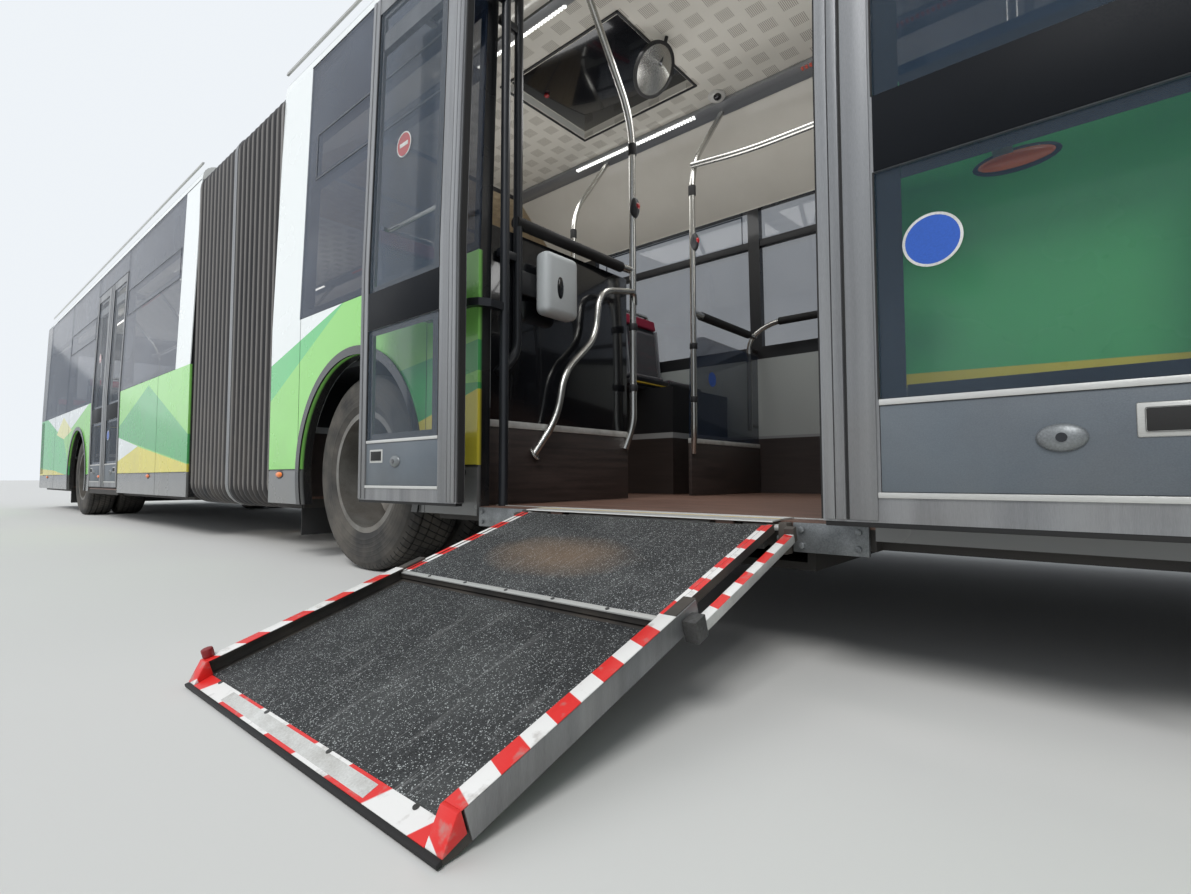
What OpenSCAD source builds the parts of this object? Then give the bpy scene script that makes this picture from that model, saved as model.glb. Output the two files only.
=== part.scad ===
// Articulated low-floor passenger bus with three door pairs and a deployed wheelchair ramp.
// Millimetres. +X points forward, +Y to the left side, Z is up from the ground.
// Each piece is drawn with X = 0 at the middle axle and Y = 0 on the centre line,
// and placed() then moves it so that the origin is below the middle of the whole vehicle.

/* [Body section] */
// Width of the body
body_w = 2550; // [2400:10:2600]
// Height of the roof edge
eave_z = 2915; // [2860:5:2960]
// Height of the roof's middle line
roof_top = 3000; // [2985:5:3060]
// Radius of the roof's edge
corner_r = 110; // [80:5:150]
// Height at which the side walls end and the roof begins
cant_z = 2785; // [2740:5:2790]
// Height of the lower edge of the glazing
belt_z = 1320; // [1250:10:1500]
// Height of the seam between skirt and side panel
line_z = 495; // [440:5:560]
// Height of the skirt's lower edge
skirt_z = 305; // [280:5:330]
// Inward lean of a side between the glazing's lower edge and the roof edge
lean = 45; // [0:5:80]
// Thickness of the side walls, roof and end panels
wall_t = 60; // [45:5:80]
// Height at which the windows end inside, below the air ducts
light_top = 2345; // [2300:5:2400]
// Height of the ceiling panels
ceiling_z = 2830; // [2800:5:2850]
// Thickness of the bonded glass
glass_t = 8; // [5:1:12]
// Height of the floor
floor_z = 340; // [330:5:345]
// Thickness of the floor
floor_t = 60; // [40:5:60]

/* [Length] */
// From the front axle to the middle axle
base_front = 5350; // [5300:10:5500]
// From the middle axle to the rear axle
base_rear = 6900; // [6860:10:7000]
// From the front axle to the front end
over_front = 2750; // [2740:10:2900]
// From the rear axle to the rear end
over_rear = 3200; // [3150:10:3300]
// From the middle axle back to the end of the front section
end_front = 985; // [970:5:1040]
// From the middle axle back to the front of the trailing section
end_rear = 2540; // [2490:10:2600]
// Length of the moulded front and rear ends
cap_l = 560; // [540:10:580]
// Width of the plain pillar beside the bellows
pillar_w = 370; // [300:10:420]

/* [Wheels] */
// Outer radius of a tyre
tyre_r = 478; // [465:1:485]
// Width of a tyre
tyre_w = 275; // [260:5:295]
// Radius of the bead seat
rim_r = 286; // [280:1:290]
// Distance between the middles of twin tyres
twin_pitch = 310; // [305:5:330]
// From the body side to the tyre's outer face
tyre_inset = 60; // [50:5:80]
// Radius of a wheel arch
arch_r = 562; // [550:2:575]
// Radius of the steered wheels' arches
arch_front_r = 600; // [590:5:610]
// Kingpin's distance from the centre line
kingpin_y = 860; // [850:5:880]
// Radius of the kingpins
kingpin_r = 26; // [20:1:30]
// Radius of the wheel spindles
spindle_r = 60; // [50:1:64]

/* [Doors] */
// Width of a door opening
door_w = 1400; // [1380:10:1420]
// Rear edge of the rear door's opening
door3_x = -6160; // [-6190:5:-6140]
// Rear edge of the middle door's opening
door2_x = 960; // [940:10:980]
// Width of the post ahead of the front door
post_w = 60; // [50:5:80]
// Height of the openings' upper edge
door_top = 2570; // [2500:10:2600]
// Height of the leaves' lower edge
leaf_z = 356; // [355:1:370]
// Gap around and between the leaves
leaf_gap = 12; // [8:1:16]
// Thickness of a leaf
leaf_t = 36; // [30:1:42]
// Width of a leaf's frame member beside its post
stile_w = 58; // [45:1:70]
// Width of a leaf's frame member at its closing edge
closing_w = 115; // [90:5:130]
// Lower edge of a leaf's middle rail
mid_z = 1065; // [1040:5:1070]
// Height of a leaf's middle rail
mid_h = 160; // [120:5:180]
// Length of a door arm from pivot to pivot
arm_r = 331; // [325:1:345]
// Swing of a door arm
arm_swing = 155; // [150:1:157]
// Height of the lower arm
arm_low_z = 1090; // [1000:10:1150]
// Height of the upper arm
arm_high_z = 2330; // [2250:10:2380]

/* [Ramp] */
// Forward distance of the ramp's middle
ramp_x = 1705; // [1690:5:1720]
// Width of the ramp's walking surface
ramp_w = 850; // [800:10:860]
// Length of the whole ramp along its slope
ramp_l = 1030; // [1020:5:1060]
// Length of the upper plate
ramp_inner_l = 505; // [490:5:520]
// Overlap of the two plates
ramp_lap = 80; // [60:5:100]
// Thickness of each plate
ramp_t = 16; // [12:1:20]

/* [Articulation] */
// Radius of the round platform
disc_r = 740; // [700:5:745]
// Number of folds in each half of the bellows
folds = 9; // [7:1:11]
// Depth of a fold
fold_d = 45; // [30:5:60]
// Thickness of the bellows' skin at the folds
skin_t = 16; // [10:1:20]
// Width of the middle hoop
hoop_w = 50; // [40:5:60]

/* [Hidden] */
$fn = 48;

// Radial play of pins and shafts, and the gap of what seats without touching
play = 0.05;
seat_gap = 0.3;
run_gap = 5;
half_w = body_w / 2;
front_x = base_front + over_front;
tail_x = -base_rear - over_rear;
mask_x = front_x - cap_l;
tail_cap_x = tail_x + cap_l;
door1_x = mask_x - post_w - door_w;
pivot_x = -(end_front + end_rear) / 2;
floor_w = half_w - wall_t;
inner_w = half_w - wall_t;
hub_z = tyre_r;
front_tyre_y = half_w - tyre_inset - tyre_w / 2;
twin_y = front_tyre_y - twin_pitch / 2;

// Outer face of a side at height z, measured from the centre line
function wall_y(z) = half_w - lean * max(0, z - belt_z) / (eave_z - belt_z);

// Strip of a side between two heights, from depth a to depth b below the outer face
function strip(z0, z1, a, b) = concat(
    [[wall_y(z0) - a, z0]],
    z0 < belt_z && z1 > belt_z ? [[half_w - a, belt_z]] : [],
    [[wall_y(z1) - a, z1], [wall_y(z1) - b, z1]],
    z0 < belt_z && z1 > belt_z ? [[half_w - b, belt_z]] : [],
    [[wall_y(z0) - b, z0]]);

// Half outline of the roof at depth t, from the side wall up to the middle line
roof_cy = wall_y(eave_z) - corner_r;
roof_cz = eave_z - corner_r;
edge_a = 75;
function crown_z(y, t) = let (
        y_e = roof_cy + (corner_r - t) * cos(edge_a),
        z_e = roof_cz + (corner_r - t) * sin(edge_a),
        top = roof_top - t)
    top - (top - z_e) * pow(y / y_e, 2);
function roof_half(t, z0) = let (y_e = roof_cy + (corner_r - t) * cos(edge_a)) concat(
    [[wall_y(z0) - t, z0]],
    [for (a = [0:15:edge_a]) [roof_cy + (corner_r - t) * cos(a), roof_cz + (corner_r - t) * sin(a)]],
    [for (k = [3:-1:0]) [y_e * k / 4, crown_z(y_e * k / 4, t)]]);
function reversed(p) = [for (i = [len(p) - 1:-1:0]) p[i]];
function mirrored(p) = [for (q = p) [-q[0], q[1]]];
function section(t, z0) = let (h = roof_half(t, z0)) concat(h, reversed(mirrored([for (i = [0:len(h) - 2]) h[i]])));

module placed()
    translate([-(mirror_x + mirror_t + tail_x) / 2, (ramp_reach - mirror_reach) / 2, 0]) children();

// Extrudes an outline in the Y-Z plane from x0 to x1
module along_x(x0, x1)
    translate([x0, 0, 0]) rotate([90, 0, 90]) linear_extrude(x1 - x0) children();

// Extrudes an outline in the X-Z plane from y0 to y1
module along_y(y0, y1)
    translate([0, y1, 0]) rotate([90, 0, 0]) linear_extrude(y1 - y0) children();

module on_side(s)
    mirror([0, s < 0 ? 1 : 0, 0]) children();

module box(x0, x1, y0, y1, z0, z1)
    translate([x0, y0, z0]) cube([x1 - x0, y1 - y0, z1 - z0]);

// Round bar along Y
module bar_y(x, y0, y1, z, r)
    translate([x, y1, z]) rotate([90, 0, 0]) cylinder(r = r, h = y1 - y0);

// Round bar along X
module bar_x(x0, x1, y, z, r)
    translate([x0, y, z]) rotate([0, 90, 0]) cylinder(r = r, h = x1 - x0);

// Side walls
// Glazing tables: from x, to x, lower edge
sill_gap = 8;
frame_lap = 42;
front_left_panes = [[-end_front + pillar_w, 900, belt_z], [900, 2480, belt_z], [2480, 4060, belt_z],
    [4060, 5640, belt_z], [5640, mask_x, 1200]];
front_right_panes = [[-end_front + pillar_w, door2_x, belt_z], [door2_x + door_w, 3650, belt_z],
    [3650, 4960, belt_z], [4960, door1_x, belt_z]];
rear_left_panes = [[-4350, -end_rear - pillar_w, belt_z], [-6000, -4350, belt_z], [-7700, -6000, belt_z],
    [tail_cap_x, -7700, belt_z]];
rear_right_panes = [[door3_x + door_w, -end_rear - pillar_w, belt_z], [-7800, door3_x, belt_z],
    [tail_cap_x, -7800, belt_z]];

lip_w = 42;
lip_d = 10;

// Arch tables: x of the axle, radius
front_arches = [[0, arch_r], [base_front, arch_front_r]];
rear_arches = [[-base_rear, arch_r]];
// One side wall as seen on the left; the right one is its mirror image
module side_wall(x0, x1, pillar_x0, panes, doors, axles)
    difference() {
        union() {
            along_x(x0, x1) polygon([[half_w, skirt_z], [half_w, belt_z], [half_w - glass_t, belt_z],
                [wall_y(cant_z) - glass_t, cant_z], [wall_y(cant_z) - wall_t, cant_z],
                [half_w - wall_t, belt_z], [half_w - wall_t, skirt_z]]);
            along_x(pillar_x0, pillar_x0 + pillar_w)
                polygon(strip(belt_z, cant_z, 0, glass_t + 1));
            for (a = axles) intersection() {
                bar_y(a[0], half_w - wall_t, half_w + lip_d, hub_z, a[1] + lip_w);
                box(a[0] - a[1] - lip_w, a[0] + a[1] + lip_w, 0, half_w + lip_d, skirt_z, belt_z);
            }
        }
        for (p = panes)
            box(p[0] + frame_lap, p[1] - frame_lap, 0, half_w, p[2] + frame_lap, light_top);
        for (p = panes) if (p[2] < belt_z)
            box(p[0], p[1], half_w - glass_t, half_w + 1, p[2], belt_z);
        for (d = doors)
            box(d, d + door_w, 0, half_w + lip_d + 1, skirt_z - 1, door_top);
        // The header over the door openings is a strip of its own
        if (len(doors) > 0)
            box(x0 - 1, x1 + 1, 0, half_w + 1, door_top, door_top + seat_gap);
        for (a = axles)
            bar_y(a[0], half_w - wall_t - 1, half_w + lip_d + 1, hub_z, a[1]);
        along_x(x0 - 1, x1 + 1)
            polygon([[half_w - seam_d, line_z - seam_w], [half_w + 1, line_z - seam_w],
                [half_w + 1, line_z], [half_w - seam_d, line_z]]);
    }
seam_w = 8;
seam_d = 6;

module front_left_side() color([0.36, 0.78, 0.30]) placed()
    side_wall(-end_front, mask_x, -end_front, front_left_panes, [], front_arches);
module front_right_side() color([0.36, 0.78, 0.30]) placed() on_side(-1)
    side_wall(-end_front, mask_x, -end_front, front_right_panes, [door2_x, door1_x], front_arches);
module rear_left_side() color([0.36, 0.78, 0.30]) placed()
    side_wall(tail_cap_x, -end_rear, -end_rear - pillar_w, rear_left_panes, [], rear_arches);
module rear_right_side() color([0.36, 0.78, 0.30]) placed() on_side(-1)
    side_wall(tail_cap_x, -end_rear, -end_rear - pillar_w, rear_right_panes, [door3_x], rear_arches);

module pane_row(panes)
    for (p = panes) along_x(p[0] + sill_gap / 2, p[1] - sill_gap / 2)
        polygon(strip(p[2] + sill_gap / 2, cant_z, 0, glass_t));

// Dark pane above a door opening
module door_header(d)
    along_x(d + sill_gap / 2, d + door_w - sill_gap / 2)
        polygon(strip(door_top, cant_z, 0, glass_t - seat_gap));

// Roofs
pod_z = roof_top + 130;
module roof(x0, x1, pods)
    union() {
        along_x(x0, x1) polygon(concat(section(0, cant_z), reversed(section(wall_t, cant_z))));
        for (p = pods)
            along_x(p[0], p[1]) polygon([[-p[2], crown_z(p[2], 0) - 12], [-p[2], pod_z - 45],
                [-p[2] + 60, pod_z], [p[2] - 60, pod_z], [p[2], pod_z - 45], [p[2], crown_z(p[2], 0) - 12]]);
    }
// Air duct along one side, from the window tops or door tops up to the roof
duct_y = 700;
duct_edge = 50;
duct_top_y = 0.75 * (roof_cy + (corner_r - wall_t) * cos(edge_a));
module duct(x0, x1, z0)
    along_x(x0 + seat_gap, x1 - seat_gap) polygon([[wall_y(z0) - wall_t - seat_gap, z0],
        [wall_y(cant_z) - wall_t - seat_gap, cant_z - 1], [roof_cy - 20, crown_z(roof_cy - 20, wall_t) - 15],
        [duct_top_y, crown_z(duct_top_y, wall_t) - seat_gap], [duct_y, ceiling_z + panel_t],
        [duct_y, ceiling_z - duct_edge]]);
// Duct tables: from x, to x, side, lower edge
door_clear = 40;
duct_z = light_top + 5;
head_z = door_top + 20;
front_ducts = [[-end_front, mask_x, 1, duct_z], [-end_front, door2_x - door_clear, -1, duct_z],
    [door2_x - door_clear, door2_x + door_w + door_clear, -1, head_z],
    [door2_x + door_w + door_clear, door1_x - door_clear, -1, duct_z], [door1_x - door_clear, mask_x, -1, head_z]];
rear_ducts = [[tail_cap_x, -end_rear, 1, duct_z], [tail_cap_x, door3_x - door_clear, -1, duct_z],
    [door3_x - door_clear, door3_x + door_w + door_clear, -1, head_z],
    [door3_x + door_w + door_clear, -end_rear, -1, duct_z]];
// Ceiling panel table: from x, to x, from y
panel_t = 15;
hatch_x = 20;
hatch_l = 910;
hatch_y = 380;
hatch_h = 65;
module ceiling(table)
    for (c = table, s = [-1, 1]) on_side(s)
        box(c[0] + seat_gap, c[1] - seat_gap, c[2] + seat_gap, duct_y - seat_gap, ceiling_z, ceiling_z + panel_t);
// Roof unit table: from x, to x, half width
module front_roof() color("white") placed() {
    roof(-end_front, mask_x, [[2500, 4900, 820], [5500, 6300, 560]]);
    for (d = front_ducts) on_side(d[2]) duct(d[0], d[1], d[3]);
    ceiling([[-end_front, hatch_x, 0], [hatch_x, hatch_x + hatch_l, hatch_y], [hatch_x + hatch_l, mask_x, 0]]);
    difference() {
        box(hatch_x + seat_gap, hatch_x + hatch_l - seat_gap, -hatch_y, hatch_y, ceiling_z, ceiling_z + hatch_h);
        box(hatch_x + panel_t, hatch_x + hatch_l - panel_t, -hatch_y + panel_t, hatch_y - panel_t,
            ceiling_z - 1, ceiling_z + hatch_h - panel_t);
    }
}
module rear_roof() color("white") placed() {
    roof(tail_cap_x, -end_rear, [[-9000, -6800, 820], [-5300, -4500, 560]]);
    for (d = rear_ducts) on_side(d[2]) duct(d[0], d[1], d[3]);
    ceiling([[tail_cap_x, -end_rear, 0]]);
}

// Moulded ends: the body section, cut to a rounded plan and a raked side view
plan_r = 330;
bow = 90;
function end_plan(t, r) = let (x_c = cap_l - bow - r, y_c = half_w - r) concat(
    [[-1, half_w - t]],
    [for (a = [0:10:70]) [x_c + (r - t) * sin(a), y_c + (r - t) * cos(a)]],
    [for (k = [3:-1:0]) let (y_e = y_c + (r - t) * cos(70), x_e = x_c + (r - t) * sin(70), y = y_e * k / 4)
        [cap_l - t - (cap_l - t - x_e) * pow(y / y_e, 2), y]]);
module end_block(t, r, rake)
    intersection() {
        along_x(-1, cap_l + 1) polygon(concat([[-half_w + t, skirt_z - (t > 0 ? 1 : 0)]],
            [[half_w - t, skirt_z - (t > 0 ? 1 : 0)], [half_w - t, belt_z]], section(t, cant_z),
            [[-half_w + t, belt_z]]));
        translate([0, 0, skirt_z - 2]) linear_extrude(roof_top)
            polygon(let (h = end_plan(t, r)) concat(h,
                reversed([for (i = [0:len(h) - 2]) [h[i][0], -h[i][1]]])));
        along_y(-body_w, body_w) polygon([[-2, skirt_z - 3], [cap_l - t - 40, skirt_z - 3],
            [cap_l - t, 620], [cap_l - t, 900], [cap_l - t - rake[0], belt_z],
            [cap_l - t - rake[1], cant_z], [cap_l - t - rake[2], roof_top + 2], [-2, roof_top + 2]]);
    }
front_rake = [35, 150, 230];
rear_rake = [10, 60, 110];
screen_z0 = 1060;
screen_z1 = 2520;
screen_y = 1215;
module front_end(t) translate([mask_x, 0, 0]) end_block(t, plan_r, front_rake);
module rear_end(t) translate([tail_cap_x, 0, 0]) mirror([1, 0, 0]) end_block(t, plan_r / 2, rear_rake);
module screen_region(lap)
    box(mask_x + 300 - lap, front_x + 10, -screen_y + lap, screen_y - lap, screen_z0 + lap, screen_z1 - lap);
rear_window_y = 900;
module rear_window_region(lap)
    box(tail_x - 10, tail_x + 250, -rear_window_y + lap, rear_window_y - lap, belt_z + lap, 2500 - lap);

module front_mask() color([0.36, 0.78, 0.30]) placed()
    difference() {
        front_end(0);
        front_end(wall_t);
        screen_region(40);
        difference() { screen_region(0); front_end(glass_t); }
        box(mask_x - 2, mask_x, -body_w, body_w, 0, pod_z);
    }
// Louvres of the engine bay in the tail's sides
louvres = 12;
louvre_p = 36;
louvre_z0 = line_z + 20;
louvre_z1 = belt_z - 20;
module rear_panel() color([0.36, 0.78, 0.30]) placed()
    difference() {
        rear_end(0);
        rear_end(wall_t);
        rear_window_region(40);
        difference() { rear_window_region(0); rear_end(glass_t); }
        box(tail_cap_x, tail_cap_x + 2, -body_w, body_w, 0, pod_z);
        for (s = [-1, 1]) for (i = [0:louvres - 1])
            box(tail_x + 110 + i * louvre_p, tail_x + 110 + (i + 0.5) * louvre_p, s > 0 ? half_w - 20 : -half_w - 1,
                s > 0 ? half_w + 1 : -half_w + 20, louvre_z0, louvre_z1);
    }
module front_glass() color([0.16, 0.20, 0.26]) placed()
    union() {
        pane_row(front_left_panes);
        on_side(-1) { pane_row(front_right_panes); door_header(door1_x); door_header(door2_x); }
    }
module windscreen() color([0.16, 0.20, 0.26]) placed()
    intersection() {
        difference() { front_end(0); front_end(glass_t); }
        screen_region(2);
    }
module rear_glass() color([0.16, 0.20, 0.26]) placed()
    union() {
        pane_row(rear_left_panes);
        on_side(-1) { pane_row(rear_right_panes); door_header(door3_x); }
        intersection() {
            difference() { rear_end(0); rear_end(glass_t); }
            rear_window_region(2);
        }
    }

// Floors with wheel boxes and underfloor members
well_in = 500;
well_t = 25;
well_x = arch_front_r + 40;
well_top = 1030;
deck_z = floor_z - floor_t;
// Floor plate with a sill in each door opening and cut-outs for the wheels
module floor_deck(x0, x1, axles, doors)
    difference() {
        union() {
            box(x0, x1, -floor_w, floor_w, deck_z, floor_z);
            for (d = doors)
                box(d + 2, d + door_w - 2, -half_w + sill_in, -floor_w + 1, deck_z, floor_z);
        }
        for (a = axles, s = [-1, 1]) on_side(s)
            box(a - well_x, a + well_x, well_in + well_t, floor_w + 1, deck_z - 1, floor_z + 1);
    }
sill_in = 12;
// Wheel box that stands on the floor plate
module wheel_box(a)
    for (s = [-1, 1]) on_side(s) difference() {
        box(a - well_x - well_t, a + well_x + well_t, well_in, floor_w, floor_z + seat_gap, well_top);
        box(a - well_x, a + well_x, well_in + well_t, floor_w + 1, floor_z - 1, well_top - well_t);
    }
// Longitudinal members below the floor; table: from x, to x
member_y = 380;
member_w = 80;
module members(table)
    for (b = table, s = [-1, 1]) on_side(s)
        box(b[0], b[1], member_y, member_y + member_w, beam_z, deck_z - seat_gap);
beam_z = 215;
// Towing bores at both ends
tow_r = 20;
tow_front_x = mask_x + 340;
tow_rear_x = tail_x + 165;
podium_z = 980;
podium_x = -base_rear - 1350;
podium_t = 30;
nose_x = cap_l - bow - plan_r;
nose_y = 1050;
nose_end = 240;
cassette_side = 70;
cassette_t = 20;
lug_w = 50;
module front_floor() color([0.32, 0.27, 0.22]) placed() {
    union() {
        floor_deck(-end_front, mask_x + nose_x, [0, base_front], [door1_x, door2_x]);
        box(mask_x + nose_x - 1, mask_x + nose_end, -nose_y, nose_y, deck_z, floor_z);
    }
    for (a = [0, base_front]) wheel_box(a);
    members([[700, 1150], [2260, base_front - 700], [base_front + 700, mask_x + 200]]);
    // Cassette that stows the ramp
    difference() {
        box(ramp_x - ramp_w / 2 - cassette_side, ramp_x + ramp_w / 2 + cassette_side, -half_w + 70, -500,
            beam_z, deck_z - seat_gap);
        box(ramp_x - ramp_w / 2 - cassette_side + cassette_t, ramp_x + ramp_w / 2 + cassette_side - cassette_t,
            -half_w + 69, -500 - cassette_t, beam_z + cassette_t, deck_z - cassette_t / 2);
    }
    // Hinge lugs of the ramp on the sill's edge
    for (s = [-1, 1]) translate([ramp_x + s * ramp_lug_x, 0, 0]) difference() {
        box(-lug_w / 2, lug_w / 2, -ramp_hinge_y - ramp_lug_r, -half_w + sill_in - seat_gap,
            ramp_hinge_z - 22, ramp_hinge_z + ramp_lug_r);
        bar_x(-lug_w, lug_w, -ramp_hinge_y, ramp_hinge_z, ramp_pin_r + play);
    }
    // Towing plate behind the front bumper
    difference() {
        box(mask_x + 100, tow_front_x + 40, -60, 60, beam_z, deck_z - seat_gap);
        translate([tow_front_x, 0, beam_z - 1]) cylinder(r = tow_r, h = floor_t + 20);
    }
}
drawbar_h = 60;
module rear_floor() color([0.32, 0.27, 0.22]) placed() {
    difference() {
        floor_deck(tail_cap_x - 60, -end_rear, [-base_rear], [door3_x]);
        box(tail_cap_x - 310, podium_x - podium_t, -floor_w + podium_t, floor_w - podium_t, deck_z - 1, podium_z);
    }
    wheel_box(-base_rear);
    members([[-base_rear + 700, -end_rear - drawbar_h - seat_gap]]);
    // Rear members with the towing beam across their ends
    difference() {
        union() {
            members([[tail_x + 206, -base_rear - 700]]);
            box(tail_x + 125, tail_x + 207, -member_y - member_w, member_y + member_w, beam_z, deck_z - seat_gap);
        }
        translate([tow_rear_x, 0, beam_z - 1]) cylinder(r = tow_r, h = floor_t + 20);
    }
    // Podium over the engine
    difference() {
        box(tail_cap_x - 300, podium_x, -floor_w, floor_w, floor_z + seat_gap, podium_z);
        box(tail_cap_x - 310, podium_x - podium_t, -floor_w + podium_t, floor_w - podium_t,
            floor_z - 1, podium_z - podium_t);
    }
    // Drawbar that reaches the turntable's lower ring
    difference() {
        union() {
            for (s = [-1, 1]) on_side(s)
                box(-end_rear, pivot_x - 150, 300, 400, drawbar_z, drawbar_z + drawbar_h);
            translate([pivot_x, 0, drawbar_z]) cylinder(r = 420, h = drawbar_h);
            box(-end_rear - drawbar_h, -end_rear + 1, -member_y - member_w, member_y + member_w,
                drawbar_z, deck_z - seat_gap);
        }
        translate([pivot_x, 0, drawbar_z - 1]) cylinder(r = pivot_r + play, h = drawbar_h + 2);
    }
}

// Turntable: round platform on a bearing ring, carried by two arms of the front section
drawbar_z = 190;
pivot_r = 120;
module turntable() color([0.35, 0.35, 0.37]) placed()
    union() {
        translate([pivot_x, 0, floor_z - 22]) cylinder(r = disc_r, h = 22, $fn = 96);
        translate([pivot_x, 0, drawbar_z + 65]) cylinder(r = 440, h = floor_z - 22 - drawbar_z - 65);
        translate([pivot_x, 0, drawbar_z]) cylinder(r = pivot_r, h = 70);
        for (s = [-1, 1]) on_side(s)
            box(pivot_x + 250, -end_front + 250, 200, 320, drawbar_z + 65, floor_z - floor_t);
    }

// Bellows: stepped rings, wide at each fold and narrow between two folds
bel_z0 = 262;
bel_z1 = 2850;
bel_w = half_w - 30;
bel_r = 150;
function ring(w, z0, z1, r) = concat(
    [for (a = [-90:18:0]) [w - r + r * cos(a), z0 + r + r * sin(a)]],
    [for (a = [0:18:90]) [w - r + r * cos(a), z1 - r + r * sin(a)]],
    [for (a = [90:18:180]) [-w + r + r * cos(a), z1 - r + r * sin(a)]],
    [for (a = [180:18:270]) [-w + r + r * cos(a), z0 + r + r * sin(a)]]);
frame_t = 30;
bel_len = (end_rear - end_front) / 2 - hoop_w / 2 - 2 * seat_gap - frame_t;
fold_p = bel_len / folds;
// Half of the bellows, from its end frame at x = 0 to the hoop
module bellows_half()
    difference() {
        union() {
            along_x(0, frame_t) polygon(ring(bel_w, bel_z0, bel_z1, bel_r));
            for (i = [0:folds - 1]) {
                along_x(frame_t + i * fold_p - 1, frame_t + (i + 0.5) * fold_p)
                    polygon(ring(bel_w - fold_d, bel_z0 + fold_d, bel_z1 - fold_d, bel_r - fold_d / 2));
                along_x(frame_t + (i + 0.5) * fold_p - 1, frame_t + (i + 1) * fold_p)
                    polygon(ring(bel_w, bel_z0, bel_z1, bel_r));
            }
        }
        along_x(-1, frame_t + bel_len + 1)
            polygon(ring(bel_w - fold_d - skin_t, bel_floor, bel_z1 - fold_d - skin_t, bel_r - fold_d));
        box(-1, frame_t + bel_len + 1, -bel_foot, bel_foot, bel_z0 - 5, floor_z);
    }
bel_floor = bel_z0 + fold_d + skin_t;
// The bellows is open below the platform, between its two feet
bel_foot = 880;
module bellows() color([0.10, 0.10, 0.11]) placed()
    for (s = [-1, 1]) translate([pivot_x, 0, 0]) mirror([s > 0 ? 1 : 0, 0, 0])
        translate([-(end_rear - end_front) / 2 + seat_gap, 0, 0]) bellows_half();
module hoop() color([0.55, 0.56, 0.58]) placed()
    translate([pivot_x - hoop_w / 2, 0, 0]) difference() {
        along_x(0, hoop_w) polygon(ring(bel_w + 4, bel_z0 - 4, bel_z1 + 4, bel_r));
        along_x(-1, hoop_w + 1)
            polygon(ring(bel_w - fold_d - skin_t, bel_floor, bel_z1 - fold_d - skin_t, bel_r - fold_d));
        box(-1, hoop_w + 1, -bel_foot, bel_foot, bel_z0 - 5, floor_z);
    }

// Axles and knuckles, each axle carrying its section on two air springs
spring_r = 70;
spring_y = 430;
module air_springs(z0)
    for (s = [-1, 1]) translate([0, s * spring_y, z0]) cylinder(r = spring_r, h = floor_z - floor_t - z0);
axle_z = 150;
eye_h = 130;
eye_r = 58;
boss_r = 50;
module front_axle() color([0.20, 0.20, 0.21]) placed()
    translate([base_front, 0, 0]) difference() {
        union() {
            along_y(-kingpin_y + 170, kingpin_y - 170)
                polygon([[-70, axle_z], [70, axle_z], [55, axle_z + 100], [-55, axle_z + 100]]);
            for (s = [-1, 1]) on_side(s) {
                along_x(-50, 50) polygon([[kingpin_y - 230, axle_z + 1], [kingpin_y - 120, axle_z + 20],
                    [kingpin_y - boss_r - 12, hub_z - eye_h / 2 - 60], [kingpin_y - boss_r - 12, hub_z - eye_h / 2 + 4],
                    [kingpin_y - 20, hub_z - eye_h / 2 + 8], [kingpin_y - 20, hub_z + eye_h / 2 - 8],
                    [kingpin_y - 110, hub_z + eye_h / 2 - 8], [kingpin_y - 230, axle_z + 99]]);
                translate([0, kingpin_y, hub_z - eye_h / 2]) cylinder(r = eye_r, h = eye_h);
            }
            air_springs(axle_z + 90);
        }
        for (s = [-1, 1]) translate([0, s * kingpin_y, hub_z - eye_h])
            cylinder(r = kingpin_r + play, h = 2 * eye_h);
    }
module knuckle() translate([base_front, 0, 0])
    union() {
        translate([0, kingpin_y, hub_z - eye_h / 2 - 45]) cylinder(r = kingpin_r, h = eye_h + 90);
        for (z = [hub_z - eye_h / 2 - 45, hub_z + eye_h / 2 + run_gap])
            translate([0, kingpin_y, z]) cylinder(r = boss_r, h = 40);
        for (z = [hub_z - eye_h / 2 - 45, hub_z + eye_h / 2 + run_gap])
            box(-45, 45, kingpin_y, kingpin_y + 95, z, z + 40);
        box(-45, 45, kingpin_y + eye_r + 8, kingpin_y + 95, hub_z - eye_h / 2 - 45, hub_z + eye_h / 2 + 45);
        bar_y(0, kingpin_y + 80, front_tyre_y + 118, hub_z, spindle_r);
    }
module knuckle_left() color([0.25, 0.25, 0.26]) placed() knuckle();
module knuckle_right() color([0.25, 0.25, 0.26]) placed() on_side(-1) knuckle();
// Low axle with a case at each end and spindles for the twin wheels
case_y = twin_y - twin_pitch / 2 - tyre_w / 2 - 10;
module low_axle(bowl_y)
    union() {
        along_y(-case_y, case_y)
            polygon([[-75, axle_z], [75, axle_z], [75, axle_z + 80], [55, axle_z + 100], [-55, axle_z + 100], [-75, axle_z + 80]]);
        for (s = [-1, 1]) on_side(s) {
            bar_y(0, well_in + well_t + 20, case_y, hub_z, 130);
            box(-110, 110, well_in + well_t + 20, case_y, axle_z + 1, hub_z);
            bar_y(0, case_y - 1, twin_y + 160, hub_z, spindle_r);
        }
        air_springs(axle_z + 90);
    }
module middle_axle() color([0.20, 0.20, 0.21]) placed() low_axle(0);
module rear_axle() color([0.20, 0.20, 0.21]) placed() translate([-base_rear, 0, 0])
    union() {
        low_axle(0);
        translate([90, -250, axle_z + 62]) sphere(r = 60);
        bar_y(40, -340, -160, axle_z + 62, 58);
    }

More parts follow.
